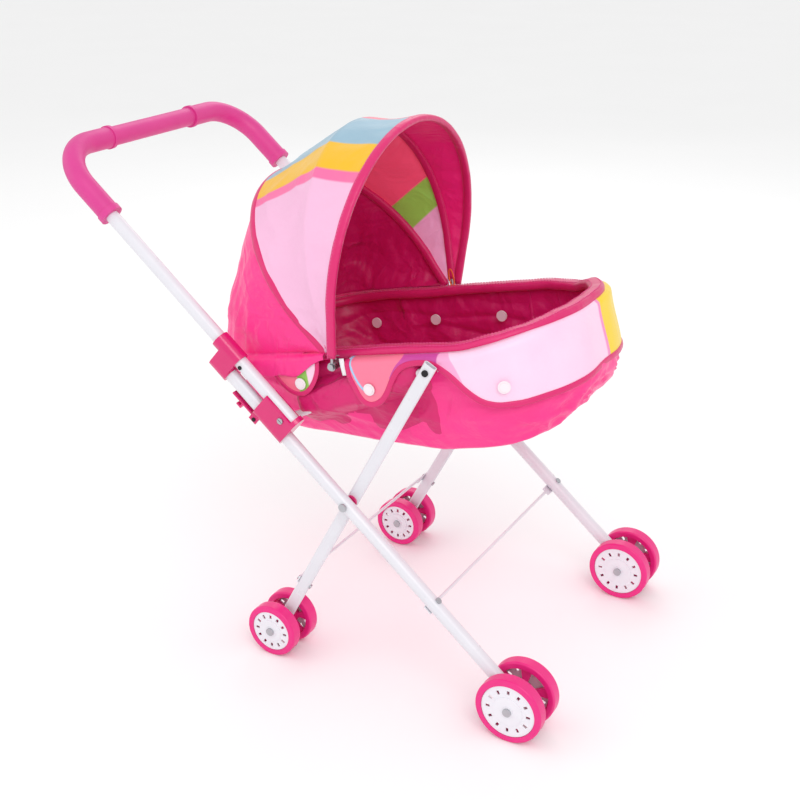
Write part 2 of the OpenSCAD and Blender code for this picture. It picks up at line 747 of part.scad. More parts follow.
module inner_snaps() {
    color("whitesmoke") on_basket() both_sides() for (x = inner_snap_x)
        translate([x, 0, rim_h - inner_snap_depth])
            rod_y(snap_d, inner_wall_y - 2.6 - snap_t, inner_wall_y - 2.6);
}

// ---- Hood ----

module hood_rivets() {
    color("silver") translate([hood_x, 0, hood_z]) both_sides()
        rivet_y(small_rivet_d, lug_y - lug_t / 2 - 0.1, front_bow_y + bow_pitch - bow_d / 2 - 0.1,
            small_head_d, small_head_t);
}

// Lean of a bow's straight side that runs smoothly into its round top
function flare_angle(half_w, leg) = atan2(leg, half_w) - acos((half_w + bow_flare) / norm([leg, half_w]));

// Wire hoop with an eye at each end
module bow(lean, y, leg) {
    flare = flare_angle(y, leg);
    top_r = y + bow_flare;
    on_hood(lean) difference() {
        union() {
            both_sides() {
                translate([0, y, 0]) rotate([-flare, 0, 0])
                    cylinder(d = bow_d, h = (leg - top_r * sin(flare)) / cos(flare));
                translate([0, top_r * cos(flare), leg - top_r * sin(flare)]) sphere(d = bow_d + 0.6);
                rod_y(bow_eye_d, y - bow_d / 2, y + bow_d / 2);
            }
            translate([0, 0, leg]) rotate([90, 0, 90]) rotate([0, 0, -flare])
                rotate_extrude(angle = 180 + 2 * flare) translate([top_r, 0]) circle(d = bow_d);
        }
        both_sides() rod_y(small_rivet_d + 2 * run_gap, 0, leg_y);
    }
}

module front_bow() { color("lightgray") bow(front_bow_lean, front_bow_y, bow_leg); }
module middle_bow() { color("lightgray") bow(-middle_bow_lean, middle_bow_y, bow_leg); }
module rear_bow() { color("lightgray") bow(-rear_bow_lean, rear_bow_y, rear_bow_leg); }

// Outline of the hood across the pram: distance from the pivot along X, width along Y
module hood_outline(half_w, start, leg) {
    wide = half_w + bow_flare;
    flare = flare_angle(half_w, leg);
    reach = leg - wide * sin(flare);
    intersection() {
        union() {
            polygon([
                [0, -half_w], [reach, -wide * cos(flare)], [leg, -wide / 2],
                [leg, wide / 2], [reach, wide * cos(flare)], [0, half_w]
            ]);
            translate([leg, 0]) circle(r = wide, $fn = 96);
        }
        translate([start, -leg_spacing]) square([2 * leg_spacing, 2 * leg_spacing]);
    }
}

// Fabric over the three bows
module hood_canopy() {
    start = 12;
    overlap = 1.5;
    swing = front_bow_lean + rear_bow_lean;
    color("pink") translate([hood_x, 0, hood_z]) rotate([90, 0, 0])
        rotate([0, 0, 90 - front_bow_lean - overlap]) rotate_extrude(angle = swing + overlap, $fn = 96)
        difference() {
            hood_outline(canopy_y + canopy_t, start, bow_leg);
            hood_outline(canopy_y, start - 1, bow_leg);
        }
}

// Closed rear panel from the rear bow down to the rim
module hood_back_form(wall, toward) {
    panel_y = rear_bow_y + bow_d / 2;
    hull() {
        on_hood(-rear_bow_lean) translate([-bow_d / 2 - 1.2 + toward, 0, 0]) rotate([0, -90, 0])
            linear_extrude(height = 0.6) hood_outline(panel_y - wall, 14 - 6 * toward, rear_bow_leg);
        on_basket(0, rim_h + 0.5 - toward) linear_extrude(height = 0.6) intersection() {
            basket_outline(rim_half_w - wall, basket_front, basket_back - wall);
            translate([-basket_back, -leg_spacing]) square([basket_back - hood_back_x - 12 + 6 * toward, 2 * leg_spacing]);
        }
    }
}

module hood_back() {
    color("mediumvioletred") difference() {
        hood_back_form(0, 0);
        hood_back_form(1, 1.5);
    }
}

// ---- Wheels ----

// Wheel along Z, with its leg-side face at zero
module wheel(r) {
    hub_r = axle_d / 2 + 4;
    rim_in = r - 6;
    web_low = 4.5;
    web_high = 7.5;
    round_r = 2;
    windows = 5;
    window_low = hub_r + 2;
    window_high = rim_in - 2;
    color("hotpink") difference() {
        union() {
            rotate_extrude($fn = 72) {
                translate([rim_in, 0]) square([r - rim_in - round_r, wheel_w]);
                translate([r - round_r - SMALL, round_r]) square([round_r + SMALL, wheel_w - 2 * round_r]);
                for (z = [round_r, wheel_w - round_r]) translate([r - round_r, z]) circle(r = round_r);
            }
            translate([0, 0, web_low]) cylinder(r = rim_in + 1, h = web_high - web_low, $fn = 72);
            cylinder(r = hub_r, h = wheel_w - 2);
        }
        translate([0, 0, -1]) cylinder(d = axle_d + 2 * run_gap, h = wheel_w + 2);
        for (i = [0 : windows - 1]) rotate([0, 0, i * 360 / windows]) translate([0, 0, web_low - 1])
            rotate_extrude(angle = 46) translate([window_low, 0])
            square([window_high - window_low, web_high - web_low + 2]);
    }
}

// White cap on a wheel's outer side, with twelve slots near its rim
module wheel_cap(r) {
    cap_r = r - 6.3;
    base = wheel_w - 2;
    slots = 12;
    slot_r = cap_r * 0.76;
    color("white") difference() {
        union() {
            translate([0, 0, base]) cylinder(r = cap_r, h = 1.2, $fn = 72);
            translate([0, 0, base + 1]) cylinder(r = cap_r * 0.55, h = 0.8, $fn = 72);
            translate([0, 0, base + 1]) cylinder(r = axle_d / 2 + 3, h = 1.5);
        }
        translate([0, 0, base - 1]) cylinder(d = axle_d + 2 * run_gap, h = 5);
        for (i = [0 : slots - 1]) rotate([0, 0, i * 360 / slots])
            translate([slot_r - 2, -1.3, base - 1]) cube([4, 2.6, 4]);
    }
}

// Children at one of the eight wheel places: side and way are each -1 or 1
module at_wheel(x, y, r, side, way) {
    translate([x, side * (y + way * wheel_gap), r]) rotate([side * way > 0 ? -90 : 90, 0, 0]) children();
}

module front_wheel(side, way) { at_wheel(front_x, leg_y, front_r, side, way) wheel(front_r); }
module front_cap(side, way) { at_wheel(front_x, leg_y, front_r, side, way) wheel_cap(front_r); }
module rear_wheel(side, way) { at_wheel(rear_x, rear_leg_y, rear_r, side, way) wheel(rear_r); }
module rear_cap(side, way) { at_wheel(rear_x, rear_leg_y, rear_r, side, way) wheel_cap(rear_r); }

// ---- Nodes ----

front_leg(1);  // front_leg_left
front_leg(-1);  // front_leg_right
front_brace();
front_brace_rivets();
guide(1);  // guide_left
guide(-1);  // guide_right
pivot_rivets();
front_axles();
handle_tube();
grip(1);  // grip_left
grip(-1);  // grip_right
grip_centre();
stop_pins();
bracket(1);  // bracket_left
bracket(-1);  // bracket_right
bracket_screws();
latch_pins();
latch_lever(1);  // latch_lever_left
latch_lever(-1);  // latch_lever_right
rear_leg(1);  // rear_leg_left
rear_leg(-1);  // rear_leg_right
rear_brace();
rear_brace_rivets();
leg_spacers();
top_rivets();
rear_axles();
seat_rail(1);  // seat_rail_left
seat_rail(-1);  // seat_rail_right
rim_hoop();
rim_binding();
tub();
base_board();
valance(1);  // valance_left
valance(-1);  // valance_right
valance_front();
outer_snaps();
inner_snaps();
hood_rivets();
front_bow();
middle_bow();
rear_bow();
hood_canopy();
hood_back();
front_wheel(1, 1);  // front_wheel_left_outer
front_wheel(1, -1);  // front_wheel_left_inner
front_wheel(-1, 1);  // front_wheel_right_outer
front_wheel(-1, -1);  // front_wheel_right_inner
rear_wheel(1, 1);  // rear_wheel_left_outer
rear_wheel(1, -1);  // rear_wheel_left_inner
rear_wheel(-1, 1);  // rear_wheel_right_outer
rear_wheel(-1, -1);  // rear_wheel_right_inner
front_cap(1, 1);  // front_cap_left_outer
front_cap(1, -1);  // front_cap_left_inner
front_cap(-1, 1);  // front_cap_right_outer
front_cap(-1, -1);  // front_cap_right_inner
rear_cap(1, 1);  // rear_cap_left_outer
rear_cap(1, -1);  // rear_cap_left_inner
rear_cap(-1, 1);  // rear_cap_right_outer
rear_cap(-1, -1);  // rear_cap_right_inner
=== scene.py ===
# %% [markdown]
# # A folding doll pram
# The frame, handle and wheels are finished CAD pieces, so here they only get their materials. The carrycot, its side
# flaps and its hood are nylon cloth, and each is made again as a thin curved sheet with seams, hems and creases.

# %% Load the frame
import json
import math
import bpy
import numpy as np
from mathutils import Matrix, Vector, noise


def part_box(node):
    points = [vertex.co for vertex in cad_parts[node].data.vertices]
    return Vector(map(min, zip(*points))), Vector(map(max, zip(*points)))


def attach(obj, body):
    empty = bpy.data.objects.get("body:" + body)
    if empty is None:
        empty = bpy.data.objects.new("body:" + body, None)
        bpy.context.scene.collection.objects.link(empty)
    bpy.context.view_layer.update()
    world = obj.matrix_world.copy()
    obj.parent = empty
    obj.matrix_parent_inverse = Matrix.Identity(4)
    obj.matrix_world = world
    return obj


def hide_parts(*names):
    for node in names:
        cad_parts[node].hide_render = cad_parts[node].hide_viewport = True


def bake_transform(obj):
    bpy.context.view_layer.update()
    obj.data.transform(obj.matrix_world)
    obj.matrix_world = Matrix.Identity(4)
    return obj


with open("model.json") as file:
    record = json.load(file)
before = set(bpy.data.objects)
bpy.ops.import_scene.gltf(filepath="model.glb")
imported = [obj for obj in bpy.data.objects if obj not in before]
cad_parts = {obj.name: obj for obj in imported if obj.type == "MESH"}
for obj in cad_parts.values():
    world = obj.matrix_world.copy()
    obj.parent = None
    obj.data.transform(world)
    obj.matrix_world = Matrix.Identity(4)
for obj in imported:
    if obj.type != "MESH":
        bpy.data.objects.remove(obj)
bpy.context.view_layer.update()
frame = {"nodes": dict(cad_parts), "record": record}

MM = 0.001
joints = {j["name"]: j for j in frame["record"]["behaviour"]["joints"]}

# %% [markdown]
# ## One frame of reference for the carrycot
# The carrycot hangs from two pivots and tips up towards its front. Every sewn piece is drawn in millimetres in the
# carrycot's own frame: X runs forwards along the rim from the top pivot, Z stands square to the rim. One function
# carries those points to the pram's frame in metres, by the pivot's place in the record and the rim's pitch.

# %% The carrycot's frame
top_pivot = Vector(joints["basket_tilt"]["pos_m"])
hood_pivot = Vector(joints["hood_fold"]["pos_m"])
rim_low, rim_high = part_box("rim_binding")
PITCH = math.radians(12.2)  # how far the rim tips up towards the nose
RIM_TOP, RIM_HALF = 17.0, 110.8  # the rim's height over the top pivot and its half width
TIP, TAIL = 104.0, 250.0  # how far the rim runs ahead of the top pivot and behind it
NOSE_R, TAIL_R = 98, 58  # the rim's corner radii
HOOD_X, HOOD_Z = -100.0, 6.0  # the hood's pivot


def to_pram(points):
    """Carrycot points in millimetres, as pram points in metres."""
    p = np.asarray(points, float) * MM
    x = top_pivot.x + p[..., 0] * math.cos(PITCH) - p[..., 2] * math.sin(PITCH)
    z = top_pivot.z + p[..., 0] * math.sin(PITCH) + p[..., 2] * math.cos(PITCH)
    return np.stack([x, p[..., 1], z], -1)


def turned(flat):
    """Directions in the carrycot's plan, as directions in the pram's frame, a millimetre long."""
    return to_pram(np.column_stack([flat, np.zeros(len(flat))])) - to_pram(np.zeros((len(flat), 3)))


def unit(vectors):
    """The same vectors, each one long."""
    return vectors / np.linalg.norm(vectors, axis=-1)[..., None]


def distance_along(path):
    """How far each point of a path is from its first one."""
    return np.concatenate([[0], np.linalg.norm(np.diff(path, axis=0), axis=1).cumsum()])


def at_places(places, marks, rows):
    """The first two columns of rows, read at these places between the marks."""
    return np.stack([np.interp(places, marks, rows[:, k]) for k in (0, 1)], -1)


print("Rim from", tuple(rim_low), "to", tuple(rim_high))

# %% [markdown]
# ## Colours
# Colours are written as the hex values a paint chart gives. The shader works in linear light, so one function turns
# each hex value to linear. A second small function adds a node, with its settings and its links, to any node tree.


# %% Colour and node helpers
def linear(hex_value):
    """The linear RGBA of an sRGB hex colour."""
    channels = [int(hex_value[i:i + 2], 16) / 255 for i in (1, 3, 5)]
    return [c / 12.92 if c <= 0.04045 else ((c + 0.055) / 1.055) ** 2.4 for c in channels] + [1.0]


def put(tree, kind, inputs=None, **settings):
    """Adds a node of this kind, with its settings, and fills or links its inputs."""
    node = tree.nodes.new(kind)
    for name, value in settings.items():
        setattr(node, name, value)
    for key, value in (inputs or {}).items():
        if isinstance(value, bpy.types.NodeSocket):
            tree.links.new(value, node.inputs[key])
        else:
            node.inputs[key].default_value = value
    return node


def new_material(name, **shader):
    """A material with its Principled shader, whose named sockets are set."""
    mat = bpy.data.materials.new(name)
    mat.use_nodes = True
    surface = mat.node_tree.nodes["Principled BSDF"]
    for socket, value in shader.items():
        surface.inputs[socket.replace("_", " ")].default_value = value
    return mat, mat.node_tree, surface


def math_node(tree, operation, one, two=0.0):
    """The result of arithmetic on one or two values."""
    return put(tree, "ShaderNodeMath", {0: one, 1: two}, operation=operation).outputs[0]


def mixed(tree, amount, one, two):
    """One colour where the amount is 0, the other where it is 1."""
    return put(tree, "ShaderNodeMix", {0: amount, 6: one, 7: two}, data_type="RGBA").outputs[2]


def cloud(tree, coords, scale):
    """Soft cloudy noise."""
    return put(tree, "ShaderNodeTexNoise", {"Vector": coords, "Scale": scale, "Detail": 3.0}).outputs["Fac"]


def vary(tree, coords, scale, low, high):
    """Cloudy variation between two values, for roughness."""
    value = cloud(tree, coords, scale)
    return put(tree, "ShaderNodeMapRange", {"Value": value, "To Min": low, "To Max": high}).outputs[0]


def tint(tree, coords, scale, one, two):
    """Cloudy variation between two near colours."""
    return mixed(tree, cloud(tree, coords, scale), linear(one), linear(two))


def bump(tree, height, distance, strength):
    """A bump normal from a height."""
    return put(tree, "ShaderNodeBump", {"Height": height, "Distance": distance, "Strength": strength}).outputs[0]


print("Helpers ready")

# %% [markdown]
# ## Moulded and painted materials
# Powder-coated steel is a baked plastic skin: white, fairly glossy, with a faint orange peel about a millimetre and a
# half across. Zinc plate is a dull bright metal. The fittings are glossy moulded ABS, the grips are soft PVC with a
# fine pebble grain, and the wheels are polypropylene with a slight sheen.


# %% Hard materials
def hard(name, one, two, rough, grain_mm, depth_mm, cell=False, **shader):
    """A painted, plated or moulded surface: near colours, varied gloss and a fine grain."""
    mat, tree, surface = new_material(name, **shader)
    at = put(tree, "ShaderNodeTexCoord").outputs["Object"]
    tree.links.new(tint(tree, at, 40, one, two), surface.inputs["Base Color"])
    tree.links.new(vary(tree, at, 90, rough[0], rough[1]), surface.inputs["Roughness"])
    kind = "ShaderNodeTexVoronoi" if cell else "ShaderNodeTexNoise"
    grain = put(tree, kind, {"Vector": at, "Scale": 1 / (grain_mm * MM)})
    tree.links.new(bump(tree, grain.outputs[0], depth_mm * MM, 0.6), surface.inputs["Normal"])
    return mat


enamel = hard("powder_coated_steel", "#E2E1E7", "#DAD9E0", (0.24, 0.34), 1.5, 0.02, Coat_Weight=0.3)
zinc = hard("zinc_plated_steel", "#C4C5C9", "#A9AAB0", (0.28, 0.42), 0.5, 0.01, Metallic=1.0)
black_steel = hard("blackened_steel", "#1A1A1D", "#2A2A2E", (0.3, 0.45), 0.6, 0.01, Metallic=0.6)
abs_pink = hard("moulded_abs", "#DA1270", "#CE0E66", (0.16, 0.26), 2.0, 0.02, Coat_Weight=0.4)
grip_pvc = hard("pebbled_pvc", "#DC3E93", "#CF3588", (0.36, 0.5), 1.7, 0.12, cell=True)
wheel_pp = hard("moulded_polypropylene", "#EC2585", "#E01C7A", (0.28, 0.4), 1.2, 0.03)
cap_pp = hard("white_polypropylene", "#ECEAF0", "#E2E0E8", (0.25, 0.38), 1.4, 0.02)
snap_pom = hard("snap_acetal", "#F4E9EE", "#EADCE3", (0.25, 0.35), 1.0, 0.01)

dressing = {
    enamel: ["front_leg", "front_brace", "handle_tube", "rear_leg", "rear_brace", "seat_rail"],
    zinc: ["front_brace_rivets", "pivot_rivets", "front_axles", "rear_axles", "rear_brace_rivets",
           "bracket_screws", "rim_hoop", "hood_rivets", "rear_bow", "middle_bow", "front_bow"],
    black_steel: ["stop_pins", "latch_pins", "top_rivets"],
    abs_pink: ["guide", "bracket_left", "bracket_right", "latch_lever", "leg_spacers"],
    grip_pvc: ["grip"],
    wheel_pp: ["front_wheel", "rear_wheel"],
    cap_pp: ["front_cap", "rear_cap"],
    snap_pom: ["outer_snaps", "inner_snaps"],
}
for material, starts in dressing.items():
    for node, piece in frame["nodes"].items():
        exact = node in starts
        general = any(node.startswith(s) for s in starts) and not any(node in v for v in dressing.values())
        if exact or general:
            piece.data.materials.clear()
            piece.data.materials.append(material)
print("Dressed", sum(len(o.data.materials) > 0 for o in frame["nodes"].values()), "CAD pieces")

# %% [markdown]
# ## Nylon cloth
# The tub is thin plain-weave nylon. It has a soft shine, a weave of fine ribs across and along, and small creases that
# catch the light. The real thread is far finer than shows, so the weave is drawn a millimetre apart. The weave follows
# each sheet's own UV map, which holds the cloth's flat size in metres.


# %% Cloth materials
WAVE_TURN = 0.314  # a wave texture's scale for one rib per unit
RIB_HEIGHT_MM = 0.06


def weave_height(tree, uv, thread_mm):
    """Two crossed sets of ribs."""
    rib = WAVE_TURN / (thread_mm * MM)
    across, along = (put(tree, "ShaderNodeTexWave", {"Vector": uv, "Scale": rib}, bands_direction=way).outputs["Fac"]
                     for way in "XY")
    return math_node(tree, "ADD", across, along)


def cloth(name, colour=None, thread_mm=1.1, crease_mm=0.8, paint=None, painted_glow=0.0):
    """Nylon: colour from a pair of hex values or a paint function, a weave, creases, and painted glow: the colour also
    emitted as a steady painted light on the cloth.
    """
    mat, tree, surface = new_material(name, Sheen_Weight=0.12, Sheen_Roughness=0.4, Specular_IOR_Level=0.45)
    uv = put(tree, "ShaderNodeUVMap", uv_map="cloth").outputs[0]
    at = put(tree, "ShaderNodeTexCoord").outputs["Object"]
    base = paint(tree, uv) if paint else tint(tree, at, 14, *colour)
    tree.links.new(base, surface.inputs["Base Color"])
    # Painted glow: the base colour is also emitted, a painted light that brightens the cloth whatever the lamps do.
    tree.links.new(base, surface.inputs["Emission Color"])
    surface.inputs["Emission Strength"].default_value = painted_glow
    tree.links.new(vary(tree, at, 30, 0.3, 0.46), surface.inputs["Roughness"])
    soft, fold = (
        put(tree, "ShaderNodeTexNoise", {"Vector": at, "Scale": scale, "Detail": detail, "Distortion": twist})
        for scale, detail, twist in ((26, 4.0, 0.9), (15, 2.0, 1.6))
    )
    ridge = math_node(tree, "ABSOLUTE", math_node(tree, "SUBTRACT", fold.outputs["Fac"], 0.5))
    height = math_node(tree, "SUBTRACT", soft.outputs["Fac"], math_node(tree, "MULTIPLY", ridge, 2.2))
    creased = bump(tree, height, crease_mm * MM, 0.9)
    woven = put(tree, "ShaderNodeBump", {"Height": weave_height(tree, uv, thread_mm), "Distance": RIB_HEIGHT_MM * MM,
                                         "Strength": 0.5, "Normal": creased})
    tree.links.new(woven.outputs[0], surface.inputs["Normal"])
    return mat


nylon = cloth("magenta_nylon", ("#DA1870", "#CB1063"), crease_mm=3.8)
# The lining carries painted glow: a steady emitted light that makes it look brighter than the lamps alone would.
lining = cloth("lining_nylon", ("#E0307F", "#D42473"), crease_mm=3.2, painted_glow=0.34)
hem_tape = cloth("hem_tape", ("#DC2470", "#CF1A66"), thread_mm=1.4, crease_mm=1.0)
thread = hard("polyester_thread", "#E8589A", "#DD4A8E", (0.5, 0.6), 0.6, 0.02)
elastic = hard("covered_elastic", "#F0702A", "#E2601E", (0.5, 0.65), 0.8, 0.04)
print("Cloth materials ready")


# %% [markdown]
# ## Sheets, sweeps and stitches
# Three small tools make all the sewn work. A grid turns a rule for points into a sheet with its flat sizes as UVs. A
# sweep runs a hem's cross-section along an edge. Stitches repeat along a seam, so Geometry Nodes place them.


# %% Mesh helpers
def build(name, points, faces, uvs, material, body=None):
    """A mesh object from points in metres, faces and one UV per point."""
    mesh = bpy.data.meshes.new(name)
    mesh.from_pydata([tuple(p) for p in points], [], faces)
    layer = mesh.uv_layers.new(name="cloth")
    index = np.zeros(len(mesh.loops), int)
    mesh.loops.foreach_get("vertex_index", index)
    layer.data.foreach_set("uv", np.asarray(uvs, np.float32)[index].ravel())
    mesh.polygons.foreach_set("use_smooth", [True] * len(mesh.polygons))
    mesh.materials.append(material)
    obj = bpy.data.objects.new(name, mesh)
    bpy.context.scene.collection.objects.link(obj)
    if body:
        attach(obj, body)
    return obj


def grid_faces(rows, columns, closed=False):
    """Quads of a grid whose points run row by row."""
    last = columns if closed else columns - 1
    faces = []
    for row in range(rows - 1):
        here, there = row * columns, (row + 1) * columns
        faces += [(here + c, here + (c + 1) % columns, there + (c + 1) % columns, there + c) for c in range(last)]
    return faces


def cloth_uv(grid):
    """Flat sizes over a grid of points: distances along its rows and columns, in metres."""
    steps_u = np.linalg.norm(np.diff(grid, axis=1), axis=2)
    steps_v = np.linalg.norm(np.diff(grid, axis=0), axis=2)
    u = np.concatenate([np.zeros((1, 1)), steps_u.mean(0)[None]], 1).cumsum(1).repeat(len(grid), 0)
    v = np.concatenate([np.zeros((1, 1)), steps_v.mean(1)[:, None]]).cumsum(0).repeat(grid.shape[1], 1)
    return np.stack([u, v], -1)


def cloth_size(grid):
    """Width, length and area of a grid of points."""
    uv = cloth_uv(grid)
    a, b, c, d = grid[:-1, :-1], grid[:-1, 1:], grid[1:, 1:], grid[1:, :-1]
    area = 0.5 * np.linalg.norm(np.cross(c - a, d - b), axis=2).sum()
    return float(uv[..., 0].max()), float(uv[..., 1].max()), float(area)


def add_sheet(name, grid, material, body, thickness_mm, flip=False, inner=None, closed=False, floor=False):
    """A grid of points in metres as a cloth sheet, given its thickness and its inner face's material."""
    rows, columns = grid.shape[:2]
    faces = grid_faces(rows, columns, closed)
    if floor:
        faces.append(tuple(range((rows - 1) * columns, rows * columns)))
    if flip:
        faces = [f[::-1] for f in faces]
    obj = build(name, grid.reshape(-1, 3), faces, cloth_uv(grid).reshape(-1, 2), material)
    wall = obj.modifiers.new("cloth_thickness", "SOLIDIFY")
    wall.thickness = thickness_mm * MM
    wall.offset = -1
    if inner:
        obj.data.materials.append(inner)
        wall.material_offset = 1
    if body:
        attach(obj, body)
    return obj


def squarish(t):
    """A sine or cosine pushed towards 1, which flattens an oval's sides."""
    return np.sign(t) * np.abs(t) ** 0.7


def sweep(name, path, outward, wide, thick, material, body, closed=False, sides=10, swell=None):
    """A flattened tape of oval section along a path: thick along the outward directions and wide across them, in mm."""
    path, outward = np.asarray(path, float), np.asarray(outward, float)
    if closed:
        ahead, behind = np.roll(path, -1, 0), np.roll(path, 1, 0)
    else:
        ahead, behind = np.vstack([path[1:], path[-1:]]), np.vstack([path[:1], path[:-1]])
    along = unit(ahead - behind)
    outward = unit(outward - (outward * along).sum(1)[:, None] * along)
    side = np.cross(along, outward)
    angle = np.linspace(0, 2 * math.pi, sides, endpoint=False)
    size = np.ones(len(path)) if swell is None else np.asarray(swell)
    ring = (side[:, None] * (squarish(np.cos(angle)) * wide * MM / 2)[None, :, None]
            + outward[:, None] * (squarish(np.sin(angle)) * thick * MM / 2)[None, :, None]) * size[:, None, None]
    points = (path[:, None] + ring).reshape(-1, 3)
    count = len(path)
    span = count if closed else count - 1
    faces = []
    for i in range(span):
        here, there = i * sides, (i + 1) % count * sides
        faces += [(here + k, here + (k + 1) % sides, there + (k + 1) % sides, there + k) for k in range(sides)]
    if not closed:
        faces += [tuple(range(sides))[::-1], tuple((count - 1) * sides + k for k in range(sides))]
    length = distance_along(path)
    uvs = np.stack([length.repeat(sides), np.tile(angle / (2 * math.pi) * (wide + thick) * 2 * MM, count)], -1)
    return build(name, points, faces, uvs, material, body)


# %% The stitch tool
def stitch_tree():
    """Geometry Nodes: short thread stitches set end to end along an edge line."""
    tree = bpy.data.node_groups.new("stitches_along_seam", "GeometryNodeTree")
    face = tree.interface
    face.new_socket("Geometry", in_out="INPUT", socket_type="NodeSocketGeometry")
    for label, value in (("Spacing", 0.003), ("Length", 0.002), ("Radius", 0.00035)):
        face.new_socket(label, in_out="INPUT", socket_type="NodeSocketFloat").default_value = value
    face.new_socket("Thread", in_out="INPUT", socket_type="NodeSocketMaterial")
    face.new_socket("Geometry", in_out="OUTPUT", socket_type="NodeSocketGeometry")
    given = put(tree, "NodeGroupInput").outputs
    line = put(tree, "GeometryNodeMeshToCurve", {0: given["Geometry"]}).outputs[0]
    spots = put(tree, "GeometryNodeCurveToPoints", {0: line, "Length": given["Spacing"]}, mode="LENGTH").outputs
    bead = put(tree, "GeometryNodeMeshCylinder", {"Vertices": 6, "Radius": given["Radius"], "Depth": given["Length"]})
    placed = put(tree, "GeometryNodeInstanceOnPoints", {0: spots[0], "Instance": bead.outputs[0],
                                                        "Rotation": spots["Rotation"]})
    real = put(tree, "GeometryNodeRealizeInstances", {0: placed.outputs[0]})
    painted = put(tree, "GeometryNodeSetMaterial", {0: real.outputs[0], "Material": given["Thread"]})
    put(tree, "NodeGroupOutput", {0: painted.outputs[0]})
    return tree


STITCHES = stitch_tree()


def stitch(name, path, body, closed=False, spacing_mm=3.2, length_mm=2.1):
    """Real stitches along a path of points in metres, as a plain mesh on a body."""
    count = len(path)
    mesh = bpy.data.meshes.new(name)
    edges = [(i, (i + 1) % count) for i in range(count if closed else count - 1)]
    mesh.from_pydata([tuple(p) for p in path], edges, [])
    holder = bpy.data.objects.new(name, mesh)
    bpy.context.scene.collection.objects.link(holder)
    nodes = holder.modifiers.new("stitches", "NODES")
    nodes.node_group = STITCHES
    ids = {s.name: s.identifier for s in STITCHES.interface.items_tree if s.in_out == "INPUT"}
    for label, value in (("Spacing", spacing_mm * MM), ("Length", length_mm * MM), ("Radius", 0.35 * MM),
                         ("Thread", thread)):
        nodes[ids[label]] = value
    bpy.context.view_layer.update()
    result = bpy.data.meshes.new_from_object(holder.evaluated_get(bpy.context.evaluated_depsgraph_get()))
    holder.modifiers.clear()
    holder.data = result
    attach(holder, body)
    return holder


print("Sewing tools ready")

# %% [markdown]
# ## The carrycot's outline
# Seen from above, the carrycot is long, with a round nose and a squarer tail. A point's place on it is counted from the
# middle of the tail, along the right side, round the tip and back along the left. The same counts at every height let
# rows of points be joined into one smooth wall.


# %% Outline of the carrycot
COUNTS = (8, 16, 60, 34, 4)  # points on half the tail, its corner, the side, the nose's corner and half its tip


def outline(half, front, back, front_r, back_r):
    """Closed loop of plan points and outward directions, from the tail's middle round by the right side."""
    tail_n, rear_n, side_n, nose_n, tip_n = COUNTS
    parts, normals = [], []

    def straight(a, b, n, direction):
        t = np.linspace(0, 1, n, endpoint=False)[:, None]
        parts.append(np.array(a) * (1 - t) + np.array(b) * t)
        normals.append(np.tile(direction, (n, 1)))

    def arc(centre, radius, start, end, n):
        a = np.radians(np.linspace(start, end, n, endpoint=False))
        direction = np.stack([np.cos(a), np.sin(a)], -1)
        parts.append(np.array(centre) + radius * direction)
        normals.append(direction)

    straight((-back, 0), (-back, back_r - half), tail_n, (-1, 0))
    arc((back_r - back, back_r - half), back_r, 180, 270, rear_n)
    straight((back_r - back, -half), (front - front_r, -half), side_n, (0, -1))
    arc((front - front_r, front_r - half), front_r, 270, 360, nose_n)
    straight((front, front_r - half), (front, 0), tip_n, (1, 0))
    points, out = np.concatenate(parts), np.concatenate(normals).astype(float)
    mirror = np.array([1, -1])
    points = np.concatenate([points, [[front, 0]], points[:0:-1] * mirror])
    out = np.concatenate([out, [[1, 0]], out[:0:-1] * mirror])
    return points, out


def ripple(points, size_mm, seed):
    """Smooth repeatable noise, from -1 to 1, over points in millimetres."""
    shift = Vector((seed * 7.3, seed * 3.1, seed * 5.7))
    values = [noise.noise(Vector(p) / size_mm + shift) for p in np.asarray(points).reshape(-1, 3)]
    return np.array(values).reshape(np.shape(points)[:-1])


def crease(points, size_mm, seed):
    """Noise with sharp ridges, from 0 to 1, like the folds in thin cloth."""
    return 1 - np.clip(np.abs(ripple(points, size_mm, seed)) * 2.4, 0, 1) ** 0.8


def ease(t):
    """Smooth step from 0 to 1."""
    t = np.clip(t, 0, 1)
    return t * t * (3 - 2 * t)


def rim_rise(x):
    """How far the soft rim stands above its steel hoop, in mm: it peaks at the tip."""
    return 9 * ease((x - 20) / 90)


print("Outline of", len(outline(RIM_HALF, TIP, TAIL, NOSE_R, TAIL_R)[0]), "points")

# %% [markdown]
# ## The tub
# The tub is one hanging bag of nylon: its sides fall from the rim, lean in a little, and round under to a floor that a
# board keeps flat. The nose swells out past the rim. A cloth simulation would give it a hang, but seams and the board
# set its shape, so it is lofted row by row from rim to floor. The gathers at its nose and the long folds that run from
# its corners are then moved into the mesh.

# %% Loft the tub
TUB_ROWS = 56
WALL_SHARE = [0, 0.12, 0.3, 0.5, 0.68, 0.82, 0.92, 1]  # marks down the wall, from the rim to the bottom seam
SIDE_IN = [0, 0.05, 0.13, 0.26, 0.42, 0.61, 0.8, 1]  # how far in the sides are at each mark
NOSE_IN = [0, 0.02, 0.06, 0.14, 0.28, 0.5, 0.75, 1]  # how far in the nose is at each mark
NOSE_BULGE = [0, 0, 2, 7, 15, 13, 7, 0]  # how far the nose swells out at each mark, in mm
SEAM_X = [-208, -181, -138, -90, -22, 46, 75, 100]
SEAM_Z = [-58, -62, -68, -76, -85, -82, -75, -60]
FLOOR_CENTRE = np.array([-70, 0])
FLOOR_RINGS = (0.985, 0.93, 0.8, 0.6, 0.35, 0.12)
top_plan, top_out = outline(RIM_HALF - 5.5, TIP - 6, TAIL - 7, 93, 54)
low_plan = outline(87, 86, 208, 70, 46)[0]


def floor_height(x):
    """Height of the tub's bottom seam along its length, in mm."""
    return np.interp(x, SEAM_X, SEAM_Z)


